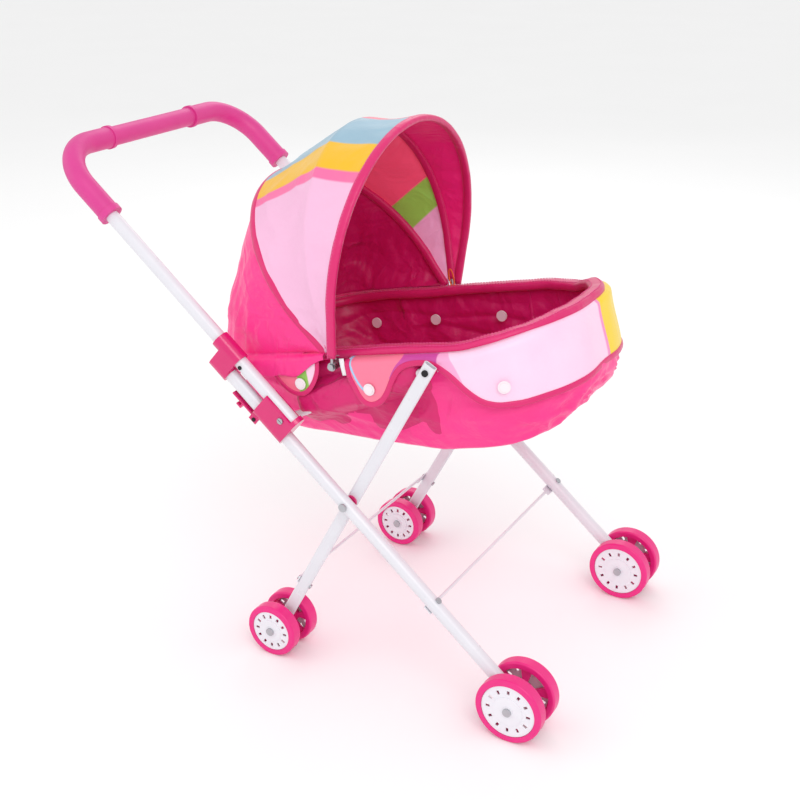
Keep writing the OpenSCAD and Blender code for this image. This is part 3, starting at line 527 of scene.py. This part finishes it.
def tub_points():
    """Rows of the tub from its rim to its bottom seam, then across the floor."""
    rows = []
    facing = np.clip(top_out[:, 0], 0, 1) ** 1.4
    for v in np.linspace(0, 1, TUB_ROWS):
        inward = np.interp(v, WALL_SHARE, SIDE_IN) * (1 - facing) + np.interp(v, WALL_SHARE, NOSE_IN) * facing
        plan = top_plan * (1 - inward[:, None]) + low_plan * inward[:, None]
        plan = plan + top_out * (np.interp(v, WALL_SHARE, NOSE_BULGE) * facing)[:, None]
        top = 11 + rim_rise(plan[:, 0]) * 0.8
        rows.append(np.column_stack([plan, top + (floor_height(plan[:, 0]) - top) * v]))
    for share in FLOOR_RINGS:
        plan = FLOOR_CENTRE + (low_plan - FLOOR_CENTRE) * share
        rows.append(np.column_stack([plan, floor_height(plan[:, 0]) + 0.4]))
    return np.array(rows)


tub = tub_points()
# Gathers at the nose and tail, long folds down the sides and a slow sag, all free to hang between rim and seam.
full = np.concatenate([np.linspace(0, 1, TUB_ROWS), np.ones(len(tub) - TUB_ROWS)])
hang = np.sin(np.pi * np.clip(full, 0, 1))[:, None]
seam_pull = np.exp(-((full - 0.93) / 0.1) ** 2)[:, None]
nose = ease((tub[..., 0] - 5) / 60)
tail = ease((-150 - tub[..., 0]) / 60)
slanted = np.stack([tub[..., 0] * 0.8 + tub[..., 2] * 0.5, tub[..., 1] * 0.8, tub[..., 2] * 0.28], -1)
gathers = crease(slanted, 17, 1) * (nose * 4.6 + tail * 3.2 + 1.0) * (hang + seam_pull)
lengthwise = np.stack([tub[..., 0] * 0.32, tub[..., 1], tub[..., 2] * 1.1 + tub[..., 0] * 0.12], -1)
long_folds = crease(lengthwise, 24, 2)
sag = ripple(tub, 52, 3) * 3.0 + ripple(tub, 21, 13) * 1.2
shift = gathers - 2.4 * nose * hang + long_folds * hang * 3.4 * (1 - nose) + sag * hang
out3 = np.zeros_like(tub)
out3[..., :2] = top_out[None]
# Under the flap the nose is held nearly smooth, so that it stays behind the flap.
under_flap = nose * ease((tub[..., 2] + 50) / 18)
tub = tub + out3 * (shift * (1 - 0.9 * under_flap) - 0.8 * under_flap)[..., None]
tub_grid = to_pram(tub)
# This grid winds inwards, so the skin that its thickness adds is the outer one, and the lining's colour lands there.
tub_obj = add_sheet("carrycot_tub", tub_grid, nylon, "basket", 1.2, inner=lining, closed=True, floor=True)
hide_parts("tub", "base_board")
print("Tub area in square metres:", round(cloth_size(tub_grid)[2], 4))

# %% [markdown]
# ## The rail covers
# Each seat rail runs inside the carrycot's side, between the bag and an outer layer of the same nylon. That layer is
# sewn in under the rim, swells over the rail and falls to the bottom seam. It starts just behind the top pivot, where
# the rail's end comes out, and ends at the slide bracket.


# %% Cover the rails
RAIL_RISE, RAIL_RUN = 35, 158  # the rail's slope under the rim, in mm
OVER_RAIL = 119.0  # the cover's half width where it crosses the rail
COVER_WIDEST = 119.9  # the most its waves may reach


def rail_cover(sign):
    """Rows of the outer side layer: the tub's own side, pushed out over the rail."""
    side = tub[:TUB_ROWS, side_columns] if sign < 0 else tub[:TUB_ROWS, mirrored_columns]
    xs, z = side[..., 0], side[..., 2]
    v = np.linspace(0, 1, TUB_ROWS)[:, None]
    # Full over the rail, and drawn in to nothing at the cover's two ends, at the rim and at the bottom seam.
    share = ease((-9 - xs) / 9) * ease((xs + 158) / 12)
    pinned = ease((v - 0.01) / 0.06) * ease((1 - v) / 0.45)
    off_rail = np.abs(z - xs * RAIL_RISE / RAIL_RUN)
    over_rail = OVER_RAIL * np.exp(-(np.clip(off_rail - 4.5, 0, None) / 42) ** 2)
    waves = crease(np.stack([xs * 0.4, z * 0 + 50 * sign, z * 1.1 - xs * 0.25], -1), 22, 21) * 2.6
    waves = waves + ripple(np.stack([xs, z * 0 + 40 * sign, z], -1), 26, 22) * 1.6
    waves = np.maximum(waves, 0)  # waves only push outwards
    wall = np.abs(side[..., 1])
    bulged = np.maximum(wall + 0.8, over_rail) + waves * np.clip(off_rail / 9 - 0.6, 0, 1)
    weight = share * pinned
    y = wall - 0.6 + (np.minimum(bulged, COVER_WIDEST) - wall + 0.6) * weight
    return to_pram(np.stack([xs, y * sign, z], -1))


half_way = len(top_plan) // 2
side_columns = [i for i in range(half_way) if -160 <= tub[0, i, 0] <= -7 and top_out[i, 1] < -0.9]
mirrored_columns = [-i for i in side_columns]
for label, sign in (("left", 1), ("right", -1)):
    cover_grid = rail_cover(sign)
    cover = add_sheet(f"rail_cover_{label}", cover_grid, nylon, "basket", 0.6, flip=sign > 0)
    width, length, area = cloth_size(cover_grid)
    print("Rail cover", label, round(width, 3), "by", round(length, 3), "area", round(area, 4))

# %% [markdown]
# ## The rim's hem
# The tub's edge is folded over the steel hoop and sewn twice, which gives a soft wide hem. It is one closed sweep round
# the outline, a little uneven, with two real rows of stitches.

# %% Sew the rim
HEM_IN, HEM_WIDE, HEM_THICK = 7.2, 9.6, 14.6
STITCH_APART, STITCH_UP = 4.4, 4.7  # each row's distance from the hem's middle line, and its height over it
hem_plan, hem_out = outline(RIM_HALF - HEM_IN, TIP - HEM_IN, TAIL - HEM_IN, NOSE_R - HEM_IN, TAIL_R - HEM_IN)
hem_line = np.column_stack([hem_plan, np.full(len(hem_plan), RIM_TOP - 3.6) + rim_rise(hem_plan[:, 0])])
hem_line[:, 2] += ripple(hem_line, 44, 4) * 2.2 + ripple(hem_line, 17, 14) * 0.8
hem_line[:, 2] -= 3.0 * np.exp(-((hem_line[:, 0] - 58) / 16) ** 2) * (hem_line[:, 1] > 0)
swell = 1 + 0.07 * ripple(hem_line, 12, 5)
rim_hem = sweep("rim_hem", to_pram(hem_line), turned(hem_out), HEM_WIDE, HEM_THICK, hem_tape, "basket",
                closed=True, sides=18, swell=swell)
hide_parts("rim_binding")
for name, inset in (("rim_stitch_inner", STITCH_APART), ("rim_stitch_outer", -STITCH_APART)):
    line = hem_line.copy()
    line[:, :2] -= hem_out * inset
    line[:, 2] += STITCH_UP
    stitch(name, to_pram(line), "basket", closed=True)
print("Rim hem sewn")

# %% [markdown]
# ## The printed flap
# A printed flap is caught in the rim and hangs outside it, in lobes that leave the pivots free. It is one sheet from
# behind the left hood pivot, round the tip, to the right. Its lower edge follows a curve of heights set out along the
# rim, and a narrow tape binds that edge.

# %% Cut the flap
FLAP_OUT = 9.9  # how far outside the rim it hangs
FLAP_REAR = -84.0  # where its rear ends are
FLAP_ROWS, FLAP_COLUMNS = 18, 300
# The lower edge: places along the rim, counted forwards from the top pivot, and the edge's height at each, in mm.
EDGE_MARKS = [-84, -82, -79.5, -75.7, -70, -64, -57, -50, -44, -38, -32, -26, -17, -6, 4, 11, 19, 26, 34,
              43, 55, 77, 140, 178, 190]
EDGE_Z = [1, -11, -20, -27, -30.5, -31, -28.5, -23, -14, -5, 1, 4.5, 6.4, 6.6, 5, 0, -7, -16, -25,
          -32.5, -37, -38.5, -36.5, -34.5, -34]
flap_plan, flap_out = outline(RIM_HALF + FLAP_OUT, TIP + 3, TAIL, NOSE_R + 3, TAIL_R)
half_loop = len(flap_plan) // 2
on_side = [i for i in range(half_loop) if flap_out[i, 1] < -0.99 and flap_plan[i, 0] >= FLAP_REAR]
keep = np.arange(on_side[0], len(flap_plan) - on_side[0] + 1)
path = flap_plan[keep]
path[0, 0] = path[-1, 0] = FLAP_REAR
along = distance_along(path)
fine = np.linspace(0, along[-1], FLAP_COLUMNS)
plan = at_places(fine, along, path)
facing = unit(at_places(fine, along, flap_out[keep]))
middle = along[-1] / 2
from_pivot = middle - np.abs(fine - middle) + FLAP_REAR
edge_z = np.interp(from_pivot, EDGE_MARKS, EDGE_Z)
edge_z = np.convolve(np.pad(edge_z, 2, "edge"), np.ones(5) / 5, "valid")
top_z = RIM_TOP - 4.5 + rim_rise(plan[:, 0])
nose_side = np.clip(facing[:, 0], 0, 1)
rows = []
for v in np.linspace(0, 1, FLAP_ROWS):
    fall = (top_z - edge_z) * v ** 1.15
    shoulder = np.clip(fall / 6.5, 0, 1)
    reach = FLAP_OUT * np.sqrt(1 - (1 - shoulder) ** 2)
    lift = 2.5 * ease((fall - 12) / 40) * nose_side
    xy = plan + facing * (reach - FLAP_OUT + lift)[:, None]
    rows.append(np.column_stack([xy, top_z - fall]))
flap = np.array(rows)
free = np.linspace(0, 1, FLAP_ROWS)[:, None] ** 1.5
flutter = ripple(flap * np.array([1, 1, 0.3]), 30, 6) * free * (0.7 + 1.3 * nose_side)
flap[..., :2] += facing[None] * flutter[..., None]
flap_grid = to_pram(flap)

# %% [markdown]
# ## The flap's print
# The print is a pale pink field with a coral patch and a sky-blue ring at the back, a mauve area over the pivot and a
# yellow patch just past the tip. It is painted by the flap's own UV map, mirrored but for the yellow, as simple shapes.

# %% Paint the flap
flap_length = cloth_size(flap_grid)[0]


def over(tree, base, colour, amount):
    """One colour laid over another by an amount from 0 to 1."""
    return mixed(tree, amount, base, linear(colour))


def beyond(tree, value, limit, soft=0.0006):
    """1 where the value is past the limit, with a thin soft edge."""
    ends = {"Value": value, "From Min": limit - soft, "From Max": limit + soft}
    return put(tree, "ShaderNodeMapRange", ends).outputs[0]


def within(tree, value, limit):
    """1 where the value is short of the limit, with the same soft edge."""
    return math_node(tree, "SUBTRACT", 1.0, beyond(tree, value, limit))


def flap_paint(tree, uv):
    """Patches placed by distance from the nearer rear end, or past the tip, and depth under the rim, in metres."""
    split = put(tree, "ShaderNodeSeparateXYZ", {0: uv}).outputs
    centred = math_node(tree, "ABSOLUTE", math_node(tree, "SUBTRACT", split["X"], flap_length / 2))
    from_end = math_node(tree, "SUBTRACT", flap_length / 2, centred)
    level = split["Y"]
    place = put(tree, "ShaderNodeCombineXYZ", {"X": from_end, "Y": level}).outputs[0]
    wobble = put(tree, "ShaderNodeTexNoise", {"Vector": place, "Scale": 30.0}).outputs["Fac"]

    def around(x, y, radius):
        gap = put(tree, "ShaderNodeVectorMath", {0: place, 1: (x, y, 0)}, operation="DISTANCE").outputs["Value"]
        return within(tree, gap, radius)

    field = mixed(tree, wobble, linear("#F7C4E0"), linear("#FAD6EC"))
    slant = math_node(tree, "SUBTRACT", from_end, math_node(tree, "MULTIPLY", level, 0.35))
    past_tip = math_node(tree, "SUBTRACT", split["X"], flap_length / 2)
    colour = over(tree, field, "#F08CC4", beyond(tree, past_tip, 0.004))
    colour = over(tree, colour, "#F4D016", beyond(tree, past_tip, 0.009))
    colour = over(tree, colour, "#F9CDE6", beyond(tree, past_tip, 0.090))
    colour = over(tree, colour, "#F3A7D0", within(tree, slant, 0.112))
    colour = over(tree, colour, "#CC46A0", within(tree, from_end, 0.103))
    colour = over(tree, colour, "#F57A98", within(tree, from_end, 0.050))
    colour = over(tree, colour, "#9CCBEE", around(0.030, 0.010, 0.0285))
    return over(tree, colour, "#F57A98", around(0.0375, 0.010, 0.0300))


flap_print = cloth("printed_flap", paint=flap_paint, crease_mm=1.0)
flap_obj = add_sheet("printed_flap", flap_grid, flap_print, "basket", 0.7, flip=True, inner=nylon)
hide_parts("valance_front")
facing3 = turned(facing)
flap_tape = sweep("flap_edge_tape", flap_grid[-1], facing3, 5.4, 1.9, hem_tape, "basket")
for end, column in (("right", 0), ("left", -1)):
    side_edge = flap_grid[2:, column]
    sideways = np.tile(facing3[column], (len(side_edge), 1))
    end_tape = sweep(f"flap_end_tape_{end}", side_edge, sideways, 5.0, 1.9, hem_tape, "basket")
width, length, area = cloth_size(flap_grid)
print("Flap", round(width, 3), "by", round(length, 3), "area", round(area, 4))

# %% [markdown]
# ## The rear lobes
# A smaller printed lobe hangs on each side at the back, half hidden by the hood's rear panel. It is a scrap of the same
# print, bound with the same tape.


# %% Sew the rear lobes
def lobe_paint(tree, uv):
    """A coral field, then a green band, then a pale pink corner."""
    split = put(tree, "ShaderNodeSeparateXYZ", {0: uv}).outputs
    colour = put(tree, "ShaderNodeRGB").outputs[0]
    colour.default_value = linear("#F4708F")
    colour = over(tree, colour, "#8CC152", beyond(tree, split["X"], 0.034))
    return over(tree, colour, "#F9D0E6", beyond(tree, split["X"], 0.046))


LOBE_COLUMNS, LOBE_ROWS = 30, 12
LOBE_TOP, LOBE_DROP, LOBE_OUT = 12, 31, 120.9  # its top edge, its depth and its distance from the middle, in mm
lobe_print = cloth("printed_lobe", paint=lobe_paint, crease_mm=1.0)
for label, sign in (("left", 1), ("right", -1)):
    xs = np.linspace(-168, -115, LOBE_COLUMNS)
    lower_z = LOBE_TOP - LOBE_DROP * np.sin(np.pi * np.linspace(0, 1, LOBE_COLUMNS)) ** 0.6
    lobe_rows = [np.column_stack([xs, np.full(LOBE_COLUMNS, sign * (LOBE_OUT + 0.3 * v)),
                                  LOBE_TOP + (lower_z - LOBE_TOP) * v]) for v in np.linspace(0, 1, LOBE_ROWS)]
    lobe_grid = to_pram(np.array(lobe_rows))
    lobe = add_sheet(f"rear_lobe_{label}", lobe_grid, lobe_print, "basket", 0.6, flip=sign < 0)
    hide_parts(f"valance_{label}")
    sideways = np.tile([0, sign, 0], (LOBE_COLUMNS, 1))
    tape = sweep(f"rear_lobe_tape_{label}", lobe_grid[-1], sideways, 4.6, 1.6, hem_tape, "basket")
    width, length, area = cloth_size(lobe_grid)
print("Two rear lobes")

# %% [markdown]
# ## The hood
# Three wire bows share one pivot each side. The canopy is sewn over them as one sheet: up the flared sides and half
# round over the top, wider at the front bow than at the rear one. It is drawn by turning one arch about the pivot, and
# it sinks between the bows.


# %% The bows' arch
FLARE = 9.0  # how much wider a bow is at its shoulders than at its feet, each side, in mm
FRONT_LEG, REAR_LEG = 72.0, 66.0  # the shoulders' height over the pivot, in mm
FRONT_LEAN, MIDDLE_LEAN, REAR_LEAN = 5.0, -12.0, -42.0  # each bow's lean forwards, in degrees


def arch(half, leg, start, count=96):
    """Points (height from the pivot, across) of a bow from its left foot over the top to its right foot."""
    radius = half + FLARE
    lean = math.atan2(leg, half) - math.acos(radius / math.hypot(leg, half))
    side = (leg - radius * math.sin(lean)) / math.cos(lean) - start
    total = 2 * side + radius * (math.pi + 2 * lean)
    points = []
    for d in np.linspace(0, total, count):
        edge = min(d, total - d)
        sign = 1 if d < total / 2 else -1
        if edge < side:
            t = start + edge
            points.append((t * math.cos(lean), sign * (half + t * math.sin(lean))))
        else:
            turn = (edge - side) / radius - lean
            points.append((leg + radius * math.sin(turn), sign * radius * math.cos(turn)))
    return np.array(points)


def lean_out(points, lean):
    """Bow points (height, across) turned to a lean about the hood's pivot, in metres, in the pram's frame."""
    a = math.radians(lean)
    x = hood_pivot.x + points[..., 0] * MM * math.sin(a)
    z = hood_pivot.z + points[..., 0] * MM * math.cos(a)
    return np.stack([x, points[..., 1] * MM, z], -1)


# %% Stretch the canopy
COLUMNS, HOOD_ROWS = 130, 40
HALF_AT_BOWS = [116.0, 120.4, 123.9]  # the canopy's half width at its feet, from the rear bow to the front one
leans = np.linspace(FRONT_LEAN + 0.3, REAR_LEAN - 0.8, HOOD_ROWS)
hood_rows = []
for lean in leans:
    half = np.interp(lean, [REAR_LEAN, MIDDLE_LEAN, FRONT_LEAN], HALF_AT_BOWS)
    leg = np.interp(lean, [REAR_LEAN, MIDDLE_LEAN], [REAR_LEG, FRONT_LEG])
    back, ahead, depth = (MIDDLE_LEAN, FRONT_LEAN, 3.3) if lean > MIDDLE_LEAN else (REAR_LEAN, MIDDLE_LEAN, 8.0)
    sink = depth * math.sin(math.pi * np.clip((lean - back) / (ahead - back), 0, 1)) ** 0.8
    line = arch(half, leg, 14, COLUMNS)
    over_top = np.sin(math.pi * np.linspace(0, 1, COLUMNS))
    line[:, 1] *= 1 - sink / half * 0.5 * over_top ** 0.4
    line[:, 0] -= sink * over_top
    hood_rows.append(lean_out(line, lean))
hood_grid = np.array(hood_rows)
hood_out = unit(hood_grid - np.array([hood_pivot.x, 0, hood_pivot.z + FRONT_LEG * MM]))
from_bow = np.min([np.abs(leans - lean) for lean in (FRONT_LEAN, MIDDLE_LEAN, REAR_LEAN)], axis=0)
loose = np.clip(from_bow / 5, 0, 1)[:, None]
pull = crease(np.stack([hood_grid[..., 0] * 350, hood_grid[..., 1] * 1000, hood_grid[..., 2] * 1000], -1), 30, 8)
hood_grid = hood_grid + hood_out * ((ripple(hood_grid / MM, 34, 18) * 1.3 + pull * 1.8 - 0.9) * loose * MM)[..., None]
hood_width, hood_length, hood_area = cloth_size(hood_grid)
print("Canopy", round(hood_width, 3), "round by", round(hood_length, 3), "deep")

# %% [markdown]
# ## The hood's print
# Outside, the hood has bands that run from back to front: pale pink sides, a thin pink line, a yellow band and a
# blue-grey top, then coral and green on the other side. Inside, the front part is lined in magenta, and further back
# the print shows through the unlined cloth. Bands go by the share of the way round the arch, and slant a little.


# %% Paint the canopy
HOOD_STOPS = [
    (0.0, "#E2A3C8"), (0.17, "#8CBF50"), (0.235, "#EE5276"), (0.50, "#8FB2C6"),
    (0.618, "#EDB812"), (0.682, "#F06CA2"), (0.704, "#EDB6D6"),
]


def band_place(tree, split):
    """Share of the way round the arch, slanted towards the back."""
    share = math_node(tree, "DIVIDE", split["X"], hood_width)
    return math_node(tree, "ADD", share, math_node(tree, "MULTIPLY", split["Y"], 0.035 / hood_length))


def hood_paint(tree, uv):
    """Bands round the arch: each stop is where the next colour begins."""
    place = band_place(tree, put(tree, "ShaderNodeSeparateXYZ", {0: uv}).outputs)
    colour = put(tree, "ShaderNodeRGB").outputs[0]
    colour.default_value = linear(HOOD_STOPS[0][1])
    for begin, hex_value in HOOD_STOPS[1:]:
        colour = over(tree, colour, hex_value, beyond(tree, place, begin, 0.002))
    return colour


def hood_lining_paint(tree, uv):
    """Magenta lining in front of the middle bow, the print's wrong side behind it."""
    split = put(tree, "ShaderNodeSeparateXYZ", {0: uv}).outputs
    lined_to = hood_length * (FRONT_LEAN - MIDDLE_LEAN) / (FRONT_LEAN - REAR_LEAN)
    front_part = within(tree, split["Y"], lined_to)
    return over(tree, hood_paint(tree, uv), "#D81F6E", front_part)


hood_cloth = cloth("printed_canopy", paint=hood_paint, crease_mm=1.0)
# The canopy's inner face carries painted glow too: a steady emitted light that brightens it.
hood_inside = cloth("canopy_lining", paint=hood_lining_paint, crease_mm=2.4, painted_glow=0.22)
canopy = add_sheet("hood_canopy", hood_grid, hood_cloth, None, 0.8, flip=True, inner=hood_inside)
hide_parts("hood_canopy")
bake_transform(canopy)
print("Canopy area", round(hood_area, 4))

# %% [markdown]
# ## The hood's tapes
# A wide tape wraps the front bow, another covers the rear bow, and a strip inside holds the middle bow. Each follows
# its own bow, so each moves with that bow when the hood folds.


# %% Bind the bows
def bow_tape(name, lean, half, leg, start, wide, thick, body):
    """A tape along a bow, wide along the pram and thick across it."""
    line = arch(half, leg, start, 120)
    path = lean_out(line, lean)
    outward = path - lean_out(np.array([[leg, 0.0]]), lean)[0]
    straight = line[:, 0] <= leg
    outward[straight] = np.stack([np.zeros(straight.sum()), np.sign(line[straight, 1]), np.zeros(straight.sum())], -1)
    tape = sweep(name, path, outward, wide, thick, hem_tape, body, sides=12, swell=1 + 0.07 * ripple(path / MM, 14, 9))
    return path, unit(outward)


front_path, front_outward = bow_tape("front_bow_tape", FRONT_LEAN + 0.4, 121.2, FRONT_LEG, 10, 8.6, 6.0, "front_bow")
bow_tape("rear_bow_tape", REAR_LEAN - 0.3, 113.0, REAR_LEG, 12, 8.5, 6.6, "basket")
bow_tape("middle_bow_tape", MIDDLE_LEAN, 116.4, FRONT_LEG, 16, 8.0, 3.8, "middle_bow")
stitch("front_tape_stitch", front_path + front_outward * 2.7 * MM - np.array([2.4 * MM, 0, 0]), "front_bow")
print("Bows bound")

# %% [markdown]
# ## The rear panel
# Behind the rear bow a gathered panel closes the hood and drapes over the carrycot's rim at the tail. It is ruled
# between the bow and a line outside the rim, then falls a little further. It bulges, and its gathers deepen towards
# the rim.

# %% Gather the rear panel
PANEL_COLUMNS, DRAPE_ROWS, FALL_ROWS = 180, 38, 10
BULGE, FALL_OUT, FALL = 6.5, 10.6, 17  # the panel's bulge, then its hang outside the rim: how far out and down, in mm
upper = lean_out(arch(113.8, REAR_LEG, 10, PANEL_COLUMNS), REAR_LEAN - 1.2)
tail_plan, tail_out = outline(RIM_HALF + 0.6, TIP, TAIL + 0.4, NOSE_R, TAIL_R)
half_loop = len(tail_plan) // 2
right = [i for i in range(half_loop) if tail_plan[i, 0] <= HOOD_X - 4]
order = [-i for i in right[:0:-1]] + right
loop, loop_out = tail_plan[order], tail_out[order]
length = distance_along(loop)
spots = np.linspace(0, length[-1], PANEL_COLUMNS)
rim_at = at_places(spots, length, loop)
rim_dir = unit(at_places(spots, length, loop_out))
lower = to_pram(np.column_stack([rim_at, np.full(PANEL_COLUMNS, RIM_TOP + 1.0)]))
u = np.linspace(0, 1, PANEL_COLUMNS)
ends = ease(np.minimum(u, 1 - u) / 0.05)
rows = []
for v in np.linspace(0, 1, DRAPE_ROWS):  # the drape, ruled from the bow down to the rim
    row = upper * (1 - v) + lower * v
    side = np.sign(row[:, 1]) * np.clip(np.abs(row[:, 1]) / 0.115, 0, 1.1) ** 2
    push = np.stack([-np.sin(math.pi * u), side * 0.7, np.zeros(PANEL_COLUMNS)], -1)
    rows.append(row + push * (BULGE * MM * math.sin(math.pi * v ** 1.2)))
for v in np.linspace(0, 1, FALL_ROWS + 1)[1:]:  # the fall, out over the rim and down
    spread = FALL_OUT * math.sqrt(1 - (1 - min(v * 2.2, 1)) ** 2)
    drop = (FALL + 3.0 * np.sin(u * 37) + 2 * np.sin(u * 83)) * v * (0.3 + 0.7 * ends)
    rows.append(to_pram(np.column_stack([rim_at + rim_dir * spread, RIM_TOP + 1.0 - drop])))
panel = np.array(rows)
count = len(panel)
spread = np.clip(np.arange(count) / DRAPE_ROWS, 0, 1)[:, None]
across, down = u[None].repeat(count, 0) * 620, spread.repeat(PANEL_COLUMNS, 1) * 34
run = np.stack([across, down, np.zeros((count, PANEL_COLUMNS))], -1)
pleat = crease(run, 24, 11) + 0.6 * crease(run, 11, 31)
crumple = ripple(panel / MM, 30, 12)
fade = np.sin(math.pi * np.clip(spread * 0.93, 0, 1)) ** 0.6
panel_out = unit(np.stack([-np.ones(panel.shape[:2]), panel[..., 1] / 0.11, np.zeros(panel.shape[:2])], -1))
near_pivot = 0.25 + 0.75 * ease((hood_pivot.x - 0.02 - panel[..., 0]) / 0.03)
depth = (pleat * (0.8 + 3.0 * spread) - 1.8 + crumple * 2.8) * fade * near_pivot * MM
panel = panel + panel_out * depth[..., None]
# Wound inwards like the tub, so its lining's colour is on the outside too.
rear_panel = add_sheet("hood_rear_panel", panel, nylon, "basket", 0.7, inner=lining)
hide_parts("hood_back")
width, length, area = cloth_size(panel)
print("Rear panel", round(width, 3), "by", round(length, 3), "area", round(area, 4))

# %% [markdown]
# ## Elastic loop and label
# A short loop of covered elastic ties the hood's left side to the rim just in front of its pivot. On the right side a
# small blank label is sewn under the rim, beside the pivot.

# %% Elastic loop and label
LOOP_POINTS = 28
turn = np.linspace(0, 2 * math.pi, LOOP_POINTS, endpoint=False)
loop = np.stack([8 + 2.6 * np.cos(turn), np.full(LOOP_POINTS, 104.5), 20 + 9.5 * np.sin(turn)], -1)
sideways = np.tile([0, 1, 0], (LOOP_POINTS, 1))
band = sweep("hood_elastic", to_pram(loop + np.array([HOOD_X, 0, HOOD_Z])), sideways, 1.4, 1.2, elastic, "basket",
             closed=True, sides=8)
across, down = np.meshgrid(np.linspace(-91.5, -86.5, 6), np.linspace(13, -3, 12))
label_grid = to_pram(np.stack([across, -119.6 - 0.5 * np.sin(down / 5), down], -1))
label_satin = cloth("label_satin", ("#F3F1F4", "#E9E6EB"), crease_mm=0.3)
care_label = add_sheet("side_label", label_grid, label_satin, "basket", 0.4)
print("Elastic loop and label")

# %% [markdown]
# ## Floor, light and camera
# A plain pale floor, a bright even studio and large soft lights keep the colours clean. The camera stands in front of
# the pram's right side, a little above it.

# %% Stage
REACH = 30.0  # metres, so that no edge of the floor is in view
floor = bpy.data.meshes.new("studio_floor")
corners = [(-REACH, -REACH, 0), (REACH, -REACH, 0), (REACH, REACH, 0), (-REACH, REACH, 0)]
floor.from_pydata(corners, [], [(0, 1, 2, 3)])
floor_obj = bpy.data.objects.new("studio_floor", floor)
bpy.context.scene.collection.objects.link(floor_obj)
floor_mat, floor_tree, floor_surface = new_material("studio_paper", Roughness=0.9)
floor_at = put(floor_tree, "ShaderNodeTexCoord").outputs["Object"]
floor_tree.links.new(tint(floor_tree, floor_at, 3, "#FBFBFB", "#F8F8F8"), floor_surface.inputs["Base Color"])
floor.materials.append(floor_mat)

world = bpy.data.worlds.new("studio")
bpy.context.scene.world = world
world.use_nodes = True
world.node_tree.nodes["Background"].inputs["Color"].default_value = (1, 1, 1, 1)
world.node_tree.nodes["Background"].inputs["Strength"].default_value = 0.92


def softbox(name, place, aim, size, power):
    """A square area light at a place, turned to its aim."""
    light = bpy.data.lights.new(name, "AREA")
    light.size, light.energy = size, power
    lamp = bpy.data.objects.new(name, light)
    lamp.location = place
    lamp.rotation_euler = (Vector(aim) - Vector(place)).to_track_quat("-Z", "Y").to_euler()
    bpy.context.scene.collection.objects.link(lamp)


MIDDLE = (0, 0, 0.25)
softbox("key_light", (1.1, -1.3, 1.7), MIDDLE, 1.2, 13)
softbox("fill_light", (-1.5, -1.0, 1.1), MIDDLE, 1.2, 3)
softbox("back_light", (-0.6, 1.6, 1.5), MIDDLE, 1.0, 5)

# %% Camera
azimuth, elevation, roll = math.radians(29.53), math.radians(22.82), math.radians(-0.38)
target = Vector((0.0366, 0, 0.2321))
distance = 1.2523
level = math.cos(elevation)
direction = Vector((math.sin(azimuth) * level, -math.cos(azimuth) * level, math.sin(elevation)))
camera_data = bpy.data.cameras.new("camera")
camera_data.sensor_width = 36.0
camera_data.lens = 56.75
camera = bpy.data.objects.new("camera", camera_data)
camera.matrix_world = (Matrix.Translation(target + direction * distance)
                       @ direction.to_track_quat("Z", "Y").to_matrix().to_4x4() @ Matrix.Rotation(roll, 4, "Z"))
bpy.context.scene.collection.objects.link(camera)
bpy.context.scene.camera = camera
bpy.context.scene.view_settings.view_transform = "Standard"
print("Camera set")
